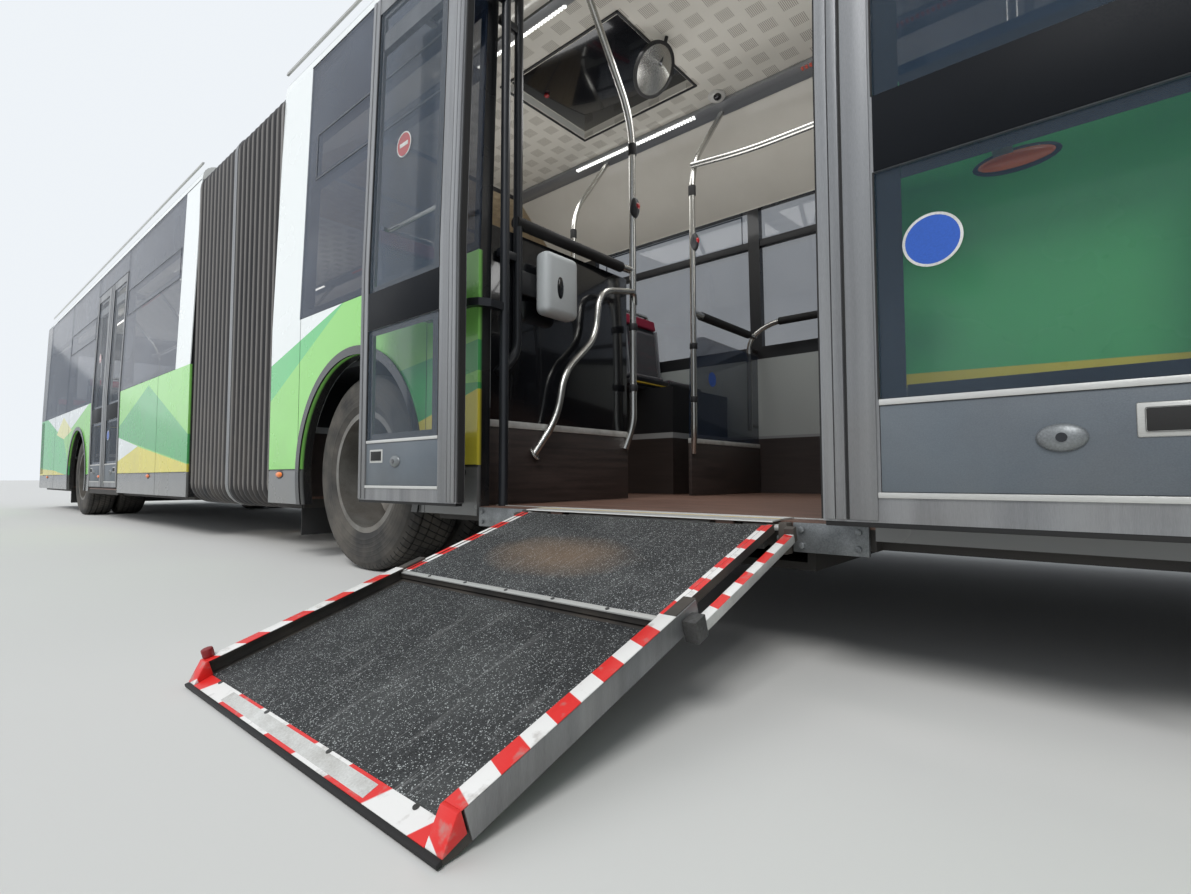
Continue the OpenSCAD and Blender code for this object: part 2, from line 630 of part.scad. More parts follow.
// Tyre outline as radius and distance from the tyre's middle, with four grooves
groove_w = 9;
groove_d = 14;
bead_w = 111;
function tread() = [for (g = [-80, -28, 28, 80], k = [0:3])
    [tyre_r - (k == 0 || k == 3 ? 0 : groove_d), g + (k < 2 ? -groove_w / 2 : groove_w / 2)]];
tyre_half = tyre_w / 2;
module tyre_ring()
    rotate([-90, 0, 0]) rotate_extrude($fn = 96) polygon(concat(
        [[rim_r, -bead_w + 4], [rim_r + 13, -bead_w], [rim_r + 13, -tyre_half + 11], [rim_r + 44, -tyre_half],
            [tyre_r - 78, -tyre_half], [tyre_r - 38, -tyre_half + 5], [tyre_r - 10, -tyre_half + 20],
            [tyre_r, -tyre_half + 42]],
        tread(),
        [[tyre_r, tyre_half - 42], [tyre_r - 10, tyre_half - 20], [tyre_r - 38, tyre_half - 5],
            [tyre_r - 78, tyre_half], [rim_r + 44, tyre_half], [rim_r + 13, tyre_half - 11],
            [rim_r + 13, bead_w], [rim_r, bead_w - 4]]));
flange_r = rim_r + 12;
bore_r = spindle_r + play;
// Rim outlines as radius and distance towards the outside
module front_rim()
    difference() {
        rotate([-90, 0, 0]) rotate_extrude($fn = 96) polygon([[rim_r - 14, -126], [flange_r, -126],
            [flange_r, -112], [rim_r, -108], [rim_r, 108], [flange_r, 112], [flange_r, 126], [rim_r - 12, 126],
            [rim_r - 14, 72], [235, 92], [165, 98], [150, 98], [138, 140], [110, 152], [0, 156], [0, 124],
            [bore_r, 124], [bore_r, -30], [100, -30], [112, 60], [160, 80], [230, 76], [262, 54], [rim_r - 14, 40]]);
        for (i = [0:9]) rotate([0, i * 36, 0]) translate([200, 0, 0]) bar_y(0, 60, 120, 0, 26);
    }
module twin_rims()
    difference() {
        rotate([-90, 0, 0]) rotate_extrude($fn = 96) polygon([[rim_r - 14, -281], [flange_r, -281],
            [flange_r, -267], [rim_r, -263], [rim_r, -47], [flange_r, -43], [flange_r, -29], [262, -29],
            [262, 29], [flange_r, 29], [flange_r, 43], [rim_r, 47], [rim_r, 263], [flange_r, 267],
            [flange_r, 281], [rim_r - 14, 281], [rim_r - 14, 70], [235, 20], [160, 16], [148, 60],
            [128, 190], [100, 204], [0, 208], [0, 164], [bore_r, 164], [bore_r, -120], [110, -120],
            [122, -16], [160, -16], [235, -20], [rim_r - 14, -70]]);
        for (i = [0:9]) rotate([0, i * 36, 0]) translate([200, 0, 0]) bar_y(0, -60, 60, 0, 26);
    }
module wheel_at(x, y, s) placed() on_side(s) translate([x, y, hub_z]) children();
module twin_tyres() for (d = [-1, 1]) translate([0, d * twin_pitch / 2, 0]) tyre_ring();
tyre_c = [0.08, 0.08, 0.08];
rim_c = [0.62, 0.63, 0.65];
module tyre_front_left() color(tyre_c) wheel_at(base_front, front_tyre_y, 1) tyre_ring();
module tyre_front_right() color(tyre_c) wheel_at(base_front, front_tyre_y, -1) tyre_ring();
module tyres_middle_left() color(tyre_c) wheel_at(0, twin_y, 1) twin_tyres();
module tyres_middle_right() color(tyre_c) wheel_at(0, twin_y, -1) twin_tyres();
module tyres_rear_left() color(tyre_c) wheel_at(-base_rear, twin_y, 1) twin_tyres();
module tyres_rear_right() color(tyre_c) wheel_at(-base_rear, twin_y, -1) twin_tyres();
module rim_front_left() color(rim_c) wheel_at(base_front, front_tyre_y, 1) front_rim();
module rim_front_right() color(rim_c) wheel_at(base_front, front_tyre_y, -1) front_rim();
module rims_middle_left() color(rim_c) wheel_at(0, twin_y, 1) twin_rims();
module rims_middle_right() color(rim_c) wheel_at(0, twin_y, -1) twin_rims();
module rims_rear_left() color(rim_c) wheel_at(-base_rear, twin_y, 1) twin_rims();
module rims_rear_right() color(rim_c) wheel_at(-base_rear, twin_y, -1) twin_rims();

// Ramp: drawn flat with u = distance from the hinge, then tilted to the ground
ramp_hinge_y = half_w + 15;
ramp_hinge_z = 325;
ramp_pin_r = 9;
ramp_lug_x = 300;
ramp_lug_r = 15;
ramp_u0 = ramp_lug_r + 10;
ramp_top = 14;
// Height of the hinge above the lower edge of the ramp's tip, which lies on the ground
ramp_tip_u = ramp_top + 2;
ramp_a = asin((ramp_hinge_z - ramp_tip_u - 1) / ramp_l);
ramp_reach = ramp_hinge_y + ramp_l * cos(ramp_a);
module ramp_frame() placed()
    translate([ramp_x, -ramp_hinge_y, ramp_hinge_z]) rotate([ramp_a, 0, 0]) mirror([0, 1, 0]) children();
rail_h = 4;
module ramp_inner() color([0.12, 0.12, 0.13]) ramp_frame()
    union() {
        box(-ramp_w / 2, ramp_w / 2, ramp_u0, ramp_inner_l, ramp_top - ramp_t, ramp_top);
        for (s = [-1, 1]) mirror([s < 0 ? 1 : 0, 0, 0]) {
            box(ramp_w / 2 - 1, ramp_w / 2 + 14, ramp_u0, ramp_inner_l, ramp_top - ramp_t, ramp_top + rail_h);
            bar_x(ramp_lug_x - 32, ramp_lug_x + 32, 0, 0, ramp_pin_r);
            for (d = [-1, 1]) {
                box(ramp_lug_x + d * 38 - 8, ramp_lug_x + d * 38 + 8, 0, ramp_u0 + 15, -ramp_pin_r, ramp_pin_r);
                bar_x(ramp_lug_x + d * 38 - 8, ramp_lug_x + d * 38 + 8, 0, 0, ramp_pin_r);
            }
        }
    }
outer_top = ramp_top - ramp_t - run_gap;
outer_u = ramp_inner_l - ramp_lap;
nose_l = 50;
hook_z = ramp_top + rail_h + seat_gap;
module ramp_outer() color([0.12, 0.12, 0.13]) ramp_frame()
    union() {
        along_x(-ramp_w / 2 - 31, ramp_w / 2 + 31) polygon([[outer_u, outer_top - ramp_t], [outer_u, outer_top],
            [ramp_l - nose_l, outer_top], [ramp_l, -ramp_tip_u + 6], [ramp_l, -ramp_tip_u],
            [ramp_l - nose_l + 20, outer_top - ramp_t]]);
        for (s = [-1, 1]) mirror([s < 0 ? 1 : 0, 0, 0]) {
            box(ramp_w / 2 + 19, ramp_w / 2 + 31, outer_u, ramp_l - nose_l, outer_top - 1, hook_z + 6);
            box(ramp_w / 2 + 4, ramp_w / 2 + 20, outer_u, ramp_l - nose_l, hook_z, hook_z + 6);
        }
    }

// Doors: each leaf hangs on a post with two cranked arms and stays parallel to the side
leaf_w = (door_w - 3 * leaf_gap) / 2;
post_x = 40;
post_y = half_w - 94;
post_r = 18;
arm_t = 24;
arm_h = 30;
pin_r = 8;
shift_x = arm_r * (1 - cos(arm_swing));
shift_y = arm_r * sin(arm_swing);
// The rear leaf of a left-hand opening that starts at x = 0; the front leaf is its mirror image
glass_z0 = leaf_z + 245;
glass_z1 = door_top - leaf_gap - 80;
lug_t = 12;
light_x0 = leaf_gap + stile_w;
light_x1 = leaf_gap + leaf_w - closing_w;
// The two lights of a leaf: lower edge, upper edge
lights = [[glass_z0, mid_z], [mid_z + mid_h, glass_z1]];
panel_z0 = leaf_z + 60;
panel_d = 5;
module leaf_frame()
    union() {
        difference() {
            along_x(leaf_gap, leaf_gap + leaf_w) polygon(strip(leaf_z, door_top - leaf_gap, 0, leaf_t));
            for (g = lights) box(light_x0, light_x1, 0, half_w + 1, g[0], g[1]);
            box(light_x0, light_x1, half_w - panel_d, half_w + 1, panel_z0, glass_z0 - 12);
        }
        along_x(leaf_gap + 1, leaf_gap + leaf_w - 1)
            polygon(strip(arm_high_z - 25, arm_high_z + arm_h + 25, 10, leaf_t));
        for (z = [arm_low_z, arm_high_z]) {
            for (k = [z - run_gap - lug_t, z + arm_h + run_gap])
                box(post_x + arm_r - 16, post_x + arm_r + 16, post_y - 16, wall_y(z) - leaf_t + 6, k, k + lug_t);
            translate([post_x + arm_r, post_y, z - run_gap - 1]) cylinder(r = pin_r, h = arm_h + 2 * run_gap + 2);
        }
    }
module leaf_glass()
    for (g = lights) along_x(light_x0 + seat_gap, light_x1 - seat_gap)
        polygon(strip(g[0] + seat_gap, g[1] - seat_gap, 2, 2 + 6));
// Cranked arm in its closed position, with its post at the origin
module arm_outline()
    union() {
        circle(r = post_r);
        polygon([[-12, 0], [18, -80], [56, -108], [95, -110], [arm_r, -12], [arm_r, 12],
            [92, -86], [70, -84], [45, -66], [12, 0]]);
        translate([arm_r, 0]) circle(r = 16);
    }
module door_arm()
    difference() {
        union() {
            translate([0, 0, floor_z + seat_gap]) cylinder(r = post_r, h = door_top - floor_z - 2 * seat_gap);
            for (z = [arm_low_z, arm_high_z]) translate([0, 0, z]) linear_extrude(arm_h) arm_outline();
        }
        for (z = [arm_low_z, arm_high_z]) translate([arm_r, 0, z - 1])
            cylinder(r = pin_r + play, h = arm_h + 2);
    }
// Places a rear leaf's pieces (side = 0) or a front leaf's pieces (side = 1) of a right-hand door
module door_half(d, side) placed() on_side(-1)
    translate([d + door_w / 2, 0, 0]) mirror([side, 0, 0]) translate([-door_w / 2, 0, 0]) children();
module leaf_at(d, side, open) door_half(d, side)
    translate([-shift_x * open, shift_y * open, 0]) children();
module arm_at(d, side, open) door_half(d, side)
    translate([post_x, post_y, 0]) rotate([0, 0, arm_swing * open]) door_arm();
leaf_c = [0.60, 0.61, 0.62];
pane_c = [0.16, 0.20, 0.26];
arm_c = [0.12, 0.12, 0.13];
module door_1_front_arm() color(arm_c) arm_at(door1_x, 1, 0);
module door_1_front_leaf() color(leaf_c) leaf_at(door1_x, 1, 0) leaf_frame();
module door_1_front_glass() color(pane_c) leaf_at(door1_x, 1, 0) leaf_glass();
module door_1_rear_arm() color(arm_c) arm_at(door1_x, 0, 0);
module door_1_rear_leaf() color(leaf_c) leaf_at(door1_x, 0, 0) leaf_frame();
module door_1_rear_glass() color(pane_c) leaf_at(door1_x, 0, 0) leaf_glass();
module door_2_front_arm() color(arm_c) arm_at(door2_x, 1, 1);
module door_2_front_leaf() color(leaf_c) leaf_at(door2_x, 1, 1) leaf_frame();
module door_2_front_glass() color(pane_c) leaf_at(door2_x, 1, 1) leaf_glass();
module door_2_rear_arm() color(arm_c) arm_at(door2_x, 0, 1);
module door_2_rear_leaf() color(leaf_c) leaf_at(door2_x, 0, 1) leaf_frame();
module door_2_rear_glass() color(pane_c) leaf_at(door2_x, 0, 1) leaf_glass();
module door_3_front_arm() color(arm_c) arm_at(door3_x, 1, 0);
module door_3_front_leaf() color(leaf_c) leaf_at(door3_x, 1, 0) leaf_frame();
module door_3_front_glass() color(pane_c) leaf_at(door3_x, 1, 0) leaf_glass();
module door_3_rear_arm() color(arm_c) arm_at(door3_x, 0, 0);
module door_3_rear_leaf() color(leaf_c) leaf_at(door3_x, 0, 0) leaf_frame();
module door_3_rear_glass() color(pane_c) leaf_at(door3_x, 0, 0) leaf_glass();

// Seats: pairs on one foot each
seat_w = 430;
seat_in = inner_w - 10 - 2 * seat_w;
// Side view of a seat that faces forward, from its rear lower corner
base_x = 95;
module seat_base(w)
    along_y(8, w - 8) polygon([[base_x + seat_gap, 0], [425, 0], [445, 50], [430, 85], [base_x + seat_gap, 60]]);
module seat_back()
    along_y(8, seat_w - 8) polygon([[45, 5], [base_x, 20], [base_x, 75], [42, 560], [22, 640],
        [-14, 650], [-30, 628]]);
// Seat table: x of the seat's back, side, facing (1 forward), height of the surface below
foot_h = 20;
seat_rise = 400;
podium_seat = 900;
module seat_pairs(table)
    for (t = table) on_side(t[1]) translate([t[0], seat_in, t[3]]) mirror([t[2] > 0 ? 0 : 1, 0, 0]) {
        h = t[3] > floor_z ? foot_h : seat_rise;
        translate([0, 0, h]) {
            seat_base(2 * seat_w);
            for (k = [0, 1]) translate([0, k * seat_w, 0]) seat_back();
        }
        if (t[3] > floor_z) box(70, 420, 40, 2 * seat_w - 40, seat_gap, h - seat_gap);
        else {
            box(100, 400, 30, 2 * seat_w - 30, h - 30, h - seat_gap);
            box(200, 260, seat_w - 120, seat_w - 60, 12, h - 30 - seat_gap);
            box(120, 380, seat_w - 130, seat_w - 50, seat_gap, 12 - seat_gap);
        }
    }
front_seat_table = [[20, 1, 1, well_top], [-20, 1, -1, well_top], [20, -1, 1, well_top], [-20, -1, -1, well_top],
    [door2_x + 1790, 1, 1, floor_z], [door2_x + 2540, 1, 1, floor_z],
    [door2_x + 1740, -1, 1, floor_z], [door2_x + 2490, -1, 1, floor_z],
    [base_front + 20, 1, 1, well_top], [base_front - 20, 1, -1, well_top],
    [base_front - 20, -1, -1, well_top]];
rear_seat_table = [[-end_rear - 960, 1, 1, floor_z], [-end_rear - 1760, 1, 1, floor_z],
    [-end_rear - 960, -1, 1, floor_z],
    [-base_rear + 20, 1, 1, well_top], [-base_rear - 20, 1, -1, well_top], [-base_rear + 20, -1, 1, well_top],
    [-base_rear - 20, -1, -1, well_top], [podium_x - podium_seat, 1, 1, podium_z],
    [podium_x - podium_seat, -1, 1, podium_z]];
module front_seats() color([0.16, 0.16, 0.17]) placed() seat_pairs(front_seat_table);
module rear_seats() color([0.16, 0.16, 0.17]) placed() seat_pairs(rear_seat_table);

// Grab rails: stanchions from floor to ceiling, joined by rails under the ceiling
rail_r = 17.5;
rail_y = seat_in - 55;
rail_z = 2240;
// Stanchion tables: x in rising order, with the rail's ends first and last
front_poles = [-end_front + 285, -end_front + 385, door2_x - 10, door2_x + door_w + 200,
    door2_x + door_w + 1240, base_front - 710, door1_x - 180, door1_x - 100];
rear_poles = [podium_x + 200, -base_rear - 800, door3_x - 10, -end_rear - 1760, -end_rear - 410, -end_rear - 360];
module rails(poles)
    for (s = [-1, 1], i = [1:len(poles) - 1]) on_side(s) {
        bar_x(poles[i - 1] + (i > 1 ? rail_r + seat_gap : 0),
            poles[i] - (i < len(poles) - 1 ? rail_r + seat_gap : 0), rail_y, rail_z, rail_r);
        if (i < len(poles) - 1) translate([poles[i], rail_y, floor_z + seat_gap])
            cylinder(r = rail_r, h = ceiling_z - floor_z - 2 * seat_gap);
    }
module front_rails() color([0.75, 0.76, 0.78]) placed() rails(front_poles);
module rear_rails() color([0.75, 0.76, 0.78]) placed() rails(rear_poles);

// Driver's workplace
// Distances along X are from the front end's seam
cab_y = 60;
cab_l = 1420;
cab_gate = 780;
cab_wall_z = 2050;
cab_side_z = 1250;
cab_step = 160;
module drivers_cab() color([0.18, 0.18, 0.19]) placed() translate([mask_x, 0, 0])
    union() {
        box(-cab_l, -cab_l + 40, cab_y, inner_w - 20, floor_z + seat_gap, cab_wall_z);
        box(-cab_l, -cab_l + cab_gate, cab_y, cab_y + 35, floor_z + seat_gap, cab_side_z);
        box(-cab_l, -40, cab_y, inner_w - 20, floor_z + seat_gap, floor_z + cab_step);
        along_y(cab_y, inner_w - cab_y) polygon([[-300, floor_z + cab_step - 1], [-40, floor_z + cab_step - 1],
            [160, 1000], [100, 1080], [-120, 1060], [-290, 960]]);
        translate([-cab_l + 260, 450, floor_z + cab_step - 1]) {
            box(80, 380, 60, 370, 0, 291);
            translate([0, 0, 290]) {
                seat_base(seat_w);
                seat_back();
            }
        }
        translate([-370, 665, 1130]) rotate([0, -62, 0]) {
            rotate_extrude() translate([212, -13]) square([26, 26]);
            translate([0, 0, -40]) cylinder(r = 60, h = 45);
            for (a = [90, 210, 330]) rotate([0, 0, a]) box(50, 220, -14, 14, -9, 3);
        }
        along_y(640, 690) polygon([[-380, 1098], [-340, 1160], [-190, 1035], [-230, 970]]);
    }

// Mirrors ahead of the front corners, clear of the front door's open leaf, on arms above the windscreen
mirror_gap = 20;
mirror_t = 80;
mirror_x = front_x + mirror_gap;
mirror_out = 230;
mirror_reach = half_w + mirror_out;
arm_y = half_w - 180;
module mirrors() color([0.10, 0.10, 0.11]) placed()
    for (s = [-1, 1]) on_side(s) difference() {
        union() {
            box(front_x - 260, mirror_x + 70, arm_y - 20, arm_y + 20, arm_top - 28, arm_top);
            along_x(mirror_x + 30, mirror_x + 70) polygon([[arm_y - 20, arm_top], [half_w + 150, arm_top - 40],
                [half_w + 150, 2050], [half_w + 120, 2050], [half_w + 120, arm_top - 68],
                [arm_y - 20, arm_top - 28]]);
            along_x(mirror_x, mirror_x + mirror_t) polygon([[half_w + 30, 1700], [mirror_reach, 1700],
                [mirror_reach, 2110], [mirror_reach - 30, 2140], [half_w + 60, 2140], [half_w + 30, 2110]]);
        }
        front_end(0);
    }
arm_top = screen_z1 + 70;
engine_l = 1300;
engine_w = 1000;
module engine() color([0.25, 0.26, 0.27]) placed()
    box(tail_x + 230, tail_x + 230 + engine_l, -engine_w / 2, engine_w / 2, deck_z, podium_z - 2 * podium_t);

front_floor();
front_left_side();
front_right_side();
front_roof();
front_mask();
front_glass();
windscreen();
rear_floor();
rear_left_side();
rear_right_side();
rear_roof();
rear_panel();
rear_glass();
turntable();
hoop();
bellows();
front_axle();
knuckle_left();
knuckle_right();
middle_axle();
rear_axle();
tyre_front_left();
tyre_front_right();
tyres_middle_left();
tyres_middle_right();
tyres_rear_left();
tyres_rear_right();
rim_front_left();
rim_front_right();
rims_middle_left();
rims_middle_right();
rims_rear_left();
rims_rear_right();
ramp_inner();
ramp_outer();
door_1_front_arm();
door_1_front_leaf();
door_1_front_glass();
door_1_rear_arm();
door_1_rear_leaf();
door_1_rear_glass();
door_2_front_arm();
door_2_front_leaf();
door_2_front_glass();
door_2_rear_arm();
door_2_rear_leaf();
door_2_rear_glass();
door_3_front_arm();
door_3_front_leaf();
door_3_front_glass();
door_3_rear_arm();
door_3_rear_leaf();
door_3_rear_glass();
front_seats();
rear_seats();
front_rails();
rear_rails();
drivers_cab();
mirrors();
engine();
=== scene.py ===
"""Finishes and fine pieces of an articulated low-floor bus with its wheelchair ramp laid out.

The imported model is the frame. Every shape is modelled in bus metres, with X = 0 at the middle axle,
Y = 0 on the centre line and Z up from the ground, and is then moved into the frame.
"""

import logging
import math
from collections.abc import Callable, Sequence
from dataclasses import dataclass, field
from enum import Enum

import bpy
from mathutils import Matrix, Vector


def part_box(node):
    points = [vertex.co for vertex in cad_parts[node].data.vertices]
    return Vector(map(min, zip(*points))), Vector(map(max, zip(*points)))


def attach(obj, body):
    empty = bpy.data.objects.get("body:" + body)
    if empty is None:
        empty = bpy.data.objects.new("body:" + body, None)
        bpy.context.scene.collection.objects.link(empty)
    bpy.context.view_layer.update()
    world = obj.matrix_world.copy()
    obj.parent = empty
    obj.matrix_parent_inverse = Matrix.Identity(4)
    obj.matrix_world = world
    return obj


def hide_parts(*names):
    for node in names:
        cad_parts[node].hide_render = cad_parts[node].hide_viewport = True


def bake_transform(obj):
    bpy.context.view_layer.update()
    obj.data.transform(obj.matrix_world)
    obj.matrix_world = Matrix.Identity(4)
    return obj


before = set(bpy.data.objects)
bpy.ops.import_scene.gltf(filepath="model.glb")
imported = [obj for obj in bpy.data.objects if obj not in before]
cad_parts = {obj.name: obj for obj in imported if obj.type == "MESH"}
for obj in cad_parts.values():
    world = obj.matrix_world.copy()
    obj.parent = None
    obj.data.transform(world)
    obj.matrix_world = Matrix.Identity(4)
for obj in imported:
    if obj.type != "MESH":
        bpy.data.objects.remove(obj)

log = logging.getLogger("bus")

Point = Sequence[float]
Colour = tuple[float, float, float]
Socket = bpy.types.NodeSocket
Node = bpy.types.Node
Shape = bpy.types.Object


def bus_origin() -> Vector:
    """Where the middle axle's centre line meets the ground, in the frame."""
    low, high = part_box("middle_axle")
    return Vector(((low.x + high.x) / 2, (low.y + high.y) / 2, 0.0))


ORIGIN = bus_origin()


@dataclass(frozen=True)
class Body:
    """Driving sizes of the body, in bus metres."""

    half_w: float = 1.275
    wall: float = 0.06
    lean: float = 0.045
    skirt: float = 0.305
    seam: float = 0.495
    belt: float = 1.32
    cant: float = 2.785
    eave: float = 2.915
    floor: float = 0.34
    mask: float = 7.54
    section_rear: float = -0.985
    trailer_front: float = -2.54
    tail_cap: float = -9.54
    front_axle: float = 5.35
    rear_axle: float = -6.9
    doors: tuple[float, float, float] = (6.08, 0.96, -6.16)
    tyre_r: float = 0.478

    @property
    def pivot(self) -> float:
        """Distance of the articulation's pivot from the middle axle."""
        return (self.section_rear + self.trailer_front) / 2

    def face(self, z: float) -> float:
        """Distance of a side's outer face from the centre line at a height.

        Args:
            z: Height above the ground.
        Returns:
            The half width there.
        """
        return self.half_w - self.lean * max(0.0, z - self.belt) / (self.eave - self.belt)


BODY = Body()


def linear(red: int, green: int, blue: int) -> Colour:
    """Turns a colour as it looks, in parts of 255, into the light values of a shader.

    Args:
        red: Red part.
        green: Green part.
        blue: Blue part.
    Returns:
        The three light values.
    """
    return tuple(((c / 255) / 12.92) if c / 255 <= 0.04045 else (((c / 255) + 0.055) / 1.055) ** 2.4
                 for c in (red, green, blue))


class Sheet:
    """The nodes of one material, laid out one after another."""

    def __init__(self, name: str) -> None:
        """Starts a material with its plain surface shader.

        Args:
            name: The material's name.
        """
        self.material = bpy.data.materials.new(name)
        self.material.use_nodes = True
        self.tree = self.material.node_tree
        self.surface = self.tree.nodes["Principled BSDF"]
        self._at: Socket | None = None
        self._axes: list[Socket] = []

    def node(self, kind: str, **settings: object) -> Node:
        """Adds one node.

        Args:
            kind: The node's type, without its ShaderNode prefix.
            settings: Properties of the node.
        Returns:
            The node.
        """
        made = self.tree.nodes.new("ShaderNode" + kind)
        for key, value in settings.items():
            setattr(made, key, value)
        return made

    def feed(self, socket: Socket, value: object) -> None:
        """Links a socket into another, or sets it to a constant."""
        if isinstance(value, bpy.types.NodeSocket):
            self.tree.links.new(value, socket)
        elif hasattr(value, "__len__") and len(value) == 3 and socket.type == "RGBA":
            socket.default_value = (*value, 1.0)
        else:
            socket.default_value = value

    def math(self, operation: str, *values: object) -> Socket:
        """Adds a sum, product or other operation on numbers and returns its result."""
        made = self.node("Math", operation=operation)
        for socket, value in zip(made.inputs, values):
            self.feed(socket, value)
        return made.outputs[0]

    def times(self, first: object, second: object) -> Socket:
        """The product of two numbers."""
        return self.math("MULTIPLY", first, second)

    def plus(self, first: object, second: object) -> Socket:
        """The sum of two numbers."""
        return self.math("ADD", first, second)

    def minus(self, first: object, second: object) -> Socket:
        """The difference of two numbers."""
        return self.math("SUBTRACT", first, second)

    def sine(self, angle: object) -> Socket:
        """The sine of an angle in radians."""
        return self.math("SINE", angle)

    def dot(self, first: object, second: object) -> Socket:
        """How far two vectors point the same way."""
        return self.vector("DOT_PRODUCT", first, second).outputs[1]

    def random(self, cells: Node) -> list[Socket]:
        """Three random numbers for each cell."""
        parts = self.node("SeparateColor")
        self.feed(parts.inputs[0], cells.outputs["Color"])
        return list(parts.outputs)

    def vector(self, operation: str, *values: object) -> Node:
        """Adds an operation on vectors and returns its node."""
        made = self.node("VectorMath", operation=operation)
        for socket, value in zip(made.inputs, values):
            self.feed(socket, value)
        return made

    def at(self) -> Socket:
        """The point that is shaded, in bus metres at rest."""
        if self._at is None:
            source = self.node("TexCoord").outputs["Object"]
            self._at = self.vector("SUBTRACT", source, tuple(ORIGIN)).outputs[0]
        return self._at

    def axes(self) -> list[Socket]:
        """The three coordinates of the point that is shaded."""
        if not self._axes:
            parts = self.node("SeparateXYZ")
            self.feed(parts.inputs[0], self.at())
            self._axes = list(parts.outputs)
        return self._axes

    def turned(self, matrix: Matrix) -> list[Socket]:
        """The point's coordinates in another frame.

        Args:
            matrix: That frame's place in bus metres, a turn and a shift.
        Returns:
            The three coordinates there.
        """
        mapping = self.node("Mapping", vector_type="TEXTURE")
        self.feed(mapping.inputs["Vector"], self.at())
        self.feed(mapping.inputs["Location"], tuple(matrix.to_translation()))
        self.feed(mapping.inputs["Rotation"], tuple(matrix.to_euler()))
        parts = self.node("SeparateXYZ")
        self.feed(parts.inputs[0], mapping.outputs[0])
        return list(parts.outputs)

    def joined(self, *values: object) -> Socket:
        """A vector made of three numbers."""
        made = self.node("CombineXYZ")
        for socket, value in zip(made.inputs, values):
            self.feed(socket, value)
        return made.outputs[0]

    def noise(self, scale: float, detail: float = 3.0, stretch: Point = (1, 1, 1),
              roughness: float = 0.55) -> Socket:
        """Cloudy noise from 0 to 1, stretched along the axes."""
        scaled = self.vector("MULTIPLY", self.at(), tuple(stretch)).outputs[0]
        made = self.node("TexNoise")
        self.feed(made.inputs["Vector"], scaled)
        made.inputs["Scale"].default_value = scale
        made.inputs["Detail"].default_value = detail
        made.inputs["Roughness"].default_value = roughness
        return made.outputs[0]

    def grains(self, scale: float, stretch: Point = (1, 1, 1)) -> Node:
        """Cells of a given number to the metre; the node's colour is random for each cell."""
        scaled = self.vector("MULTIPLY", self.at(), tuple(stretch)).outputs[0]
        made = self.node("TexVoronoi")
        self.feed(made.inputs["Vector"], scaled)
        made.inputs["Scale"].default_value = scale
        return made

    def rise(self, value: Socket, low: float, high: float, bottom: float = 0.0, top: float = 1.0) -> Socket:
        """Runs from bottom to top as value goes from low to high, and stays there outside."""
        made = self.node("MapRange")
        for socket, number in zip(made.inputs, (value, low, high, bottom, top)):
            self.feed(socket, number)
        return made.outputs[0]

    def above(self, value: Socket, height: float, soft: float = 0.0005) -> Socket:
        """1 where value lies above a height, else 0."""
        return self.rise(value, height - soft, height + soft)

    def inside(self, value: Socket, low: float, high: float, soft: float = 0.0005) -> Socket:
        """1 where value lies between low and high, else 0."""
        up = self.above(value, low, soft)
        down = self.rise(value, high - soft, high + soft, 1.0, 0.0)
        return self.times(up, down)

    def mix(self, share: object, first: object, second: object) -> Socket:
        """Blends two colours; share is that of the second."""
        made = self.node("Mix", data_type="RGBA")
        self.feed(made.inputs[0], share)
        self.feed(made.inputs[6], first)
        self.feed(made.inputs[7], second)
        return made.outputs[2]

    def blend(self, share: object, first: object, second: object) -> Socket:
        """Blends two numbers; share is that of the second."""
        made = self.node("Mix", data_type="FLOAT")
        for k, value in ((0, share), (2, first), (3, second)):
            self.feed(made.inputs[k], value)
        return made.outputs[0]

    def relief(self, height: Socket, depth: float, strength: float = 1.0) -> None:
        """Raises and sinks the surface by a pattern, over what is there already.

        Args:
            height: The pattern, 0 to 1.
            depth: Its height in metres.
            strength: Share of the effect.
        """
        bump = self.node("Bump")
        bump.inputs["Strength"].default_value = strength
        bump.inputs["Distance"].default_value = depth
        self.feed(bump.inputs["Height"], height)
        before = self.surface.inputs["Normal"].links
        if before:
            self.feed(bump.inputs["Normal"], before[0].from_socket)
        self.feed(self.surface.inputs["Normal"], bump.outputs[0])

    def set(self, **values: object) -> None:
        """Sets inputs of the surface shader; underscores stand for spaces."""
        for key, value in values.items():
            self.feed(self.surface.inputs[key.replace("_", " ")], value)

    def dusted(self, colour: object, dust: Colour, top: float, amount: float) -> Socket:
        """Lays road dust over a colour, thickest at the ground.

        Args:
            colour: The clean colour.
            dust: The dust's colour.
            top: Height above the ground where it ends.
            amount: Its share at the ground.
        Returns:
            The dusty colour.
        """
        low = self.rise(self.axes()[2], 0.0, top, amount, 0.0)
        cloud = self.rise(self.noise(5.0, 5.0), 0.35, 0.7)
        return self.mix(self.times(low, cloud), colour, dust)


@dataclass(frozen=True)
class Finish:
    """A finish whose material is made when it is first used."""

    name: str

    def lay(self, sheet: Sheet) -> None:
        """Lays out the finish's nodes.

        Args:
            sheet: The material's sheet.
        """
        raise NotImplementedError

    @property
    def material(self) -> bpy.types.Material:
        """The finish's material."""
        label = "finish_" + self.name
        found = bpy.data.materials.get(label)
        if found is None:
            sheet = Sheet(label)
            self.lay(sheet)
            found = sheet.material
        return found


ROAD_DUST = linear(120, 110, 98)


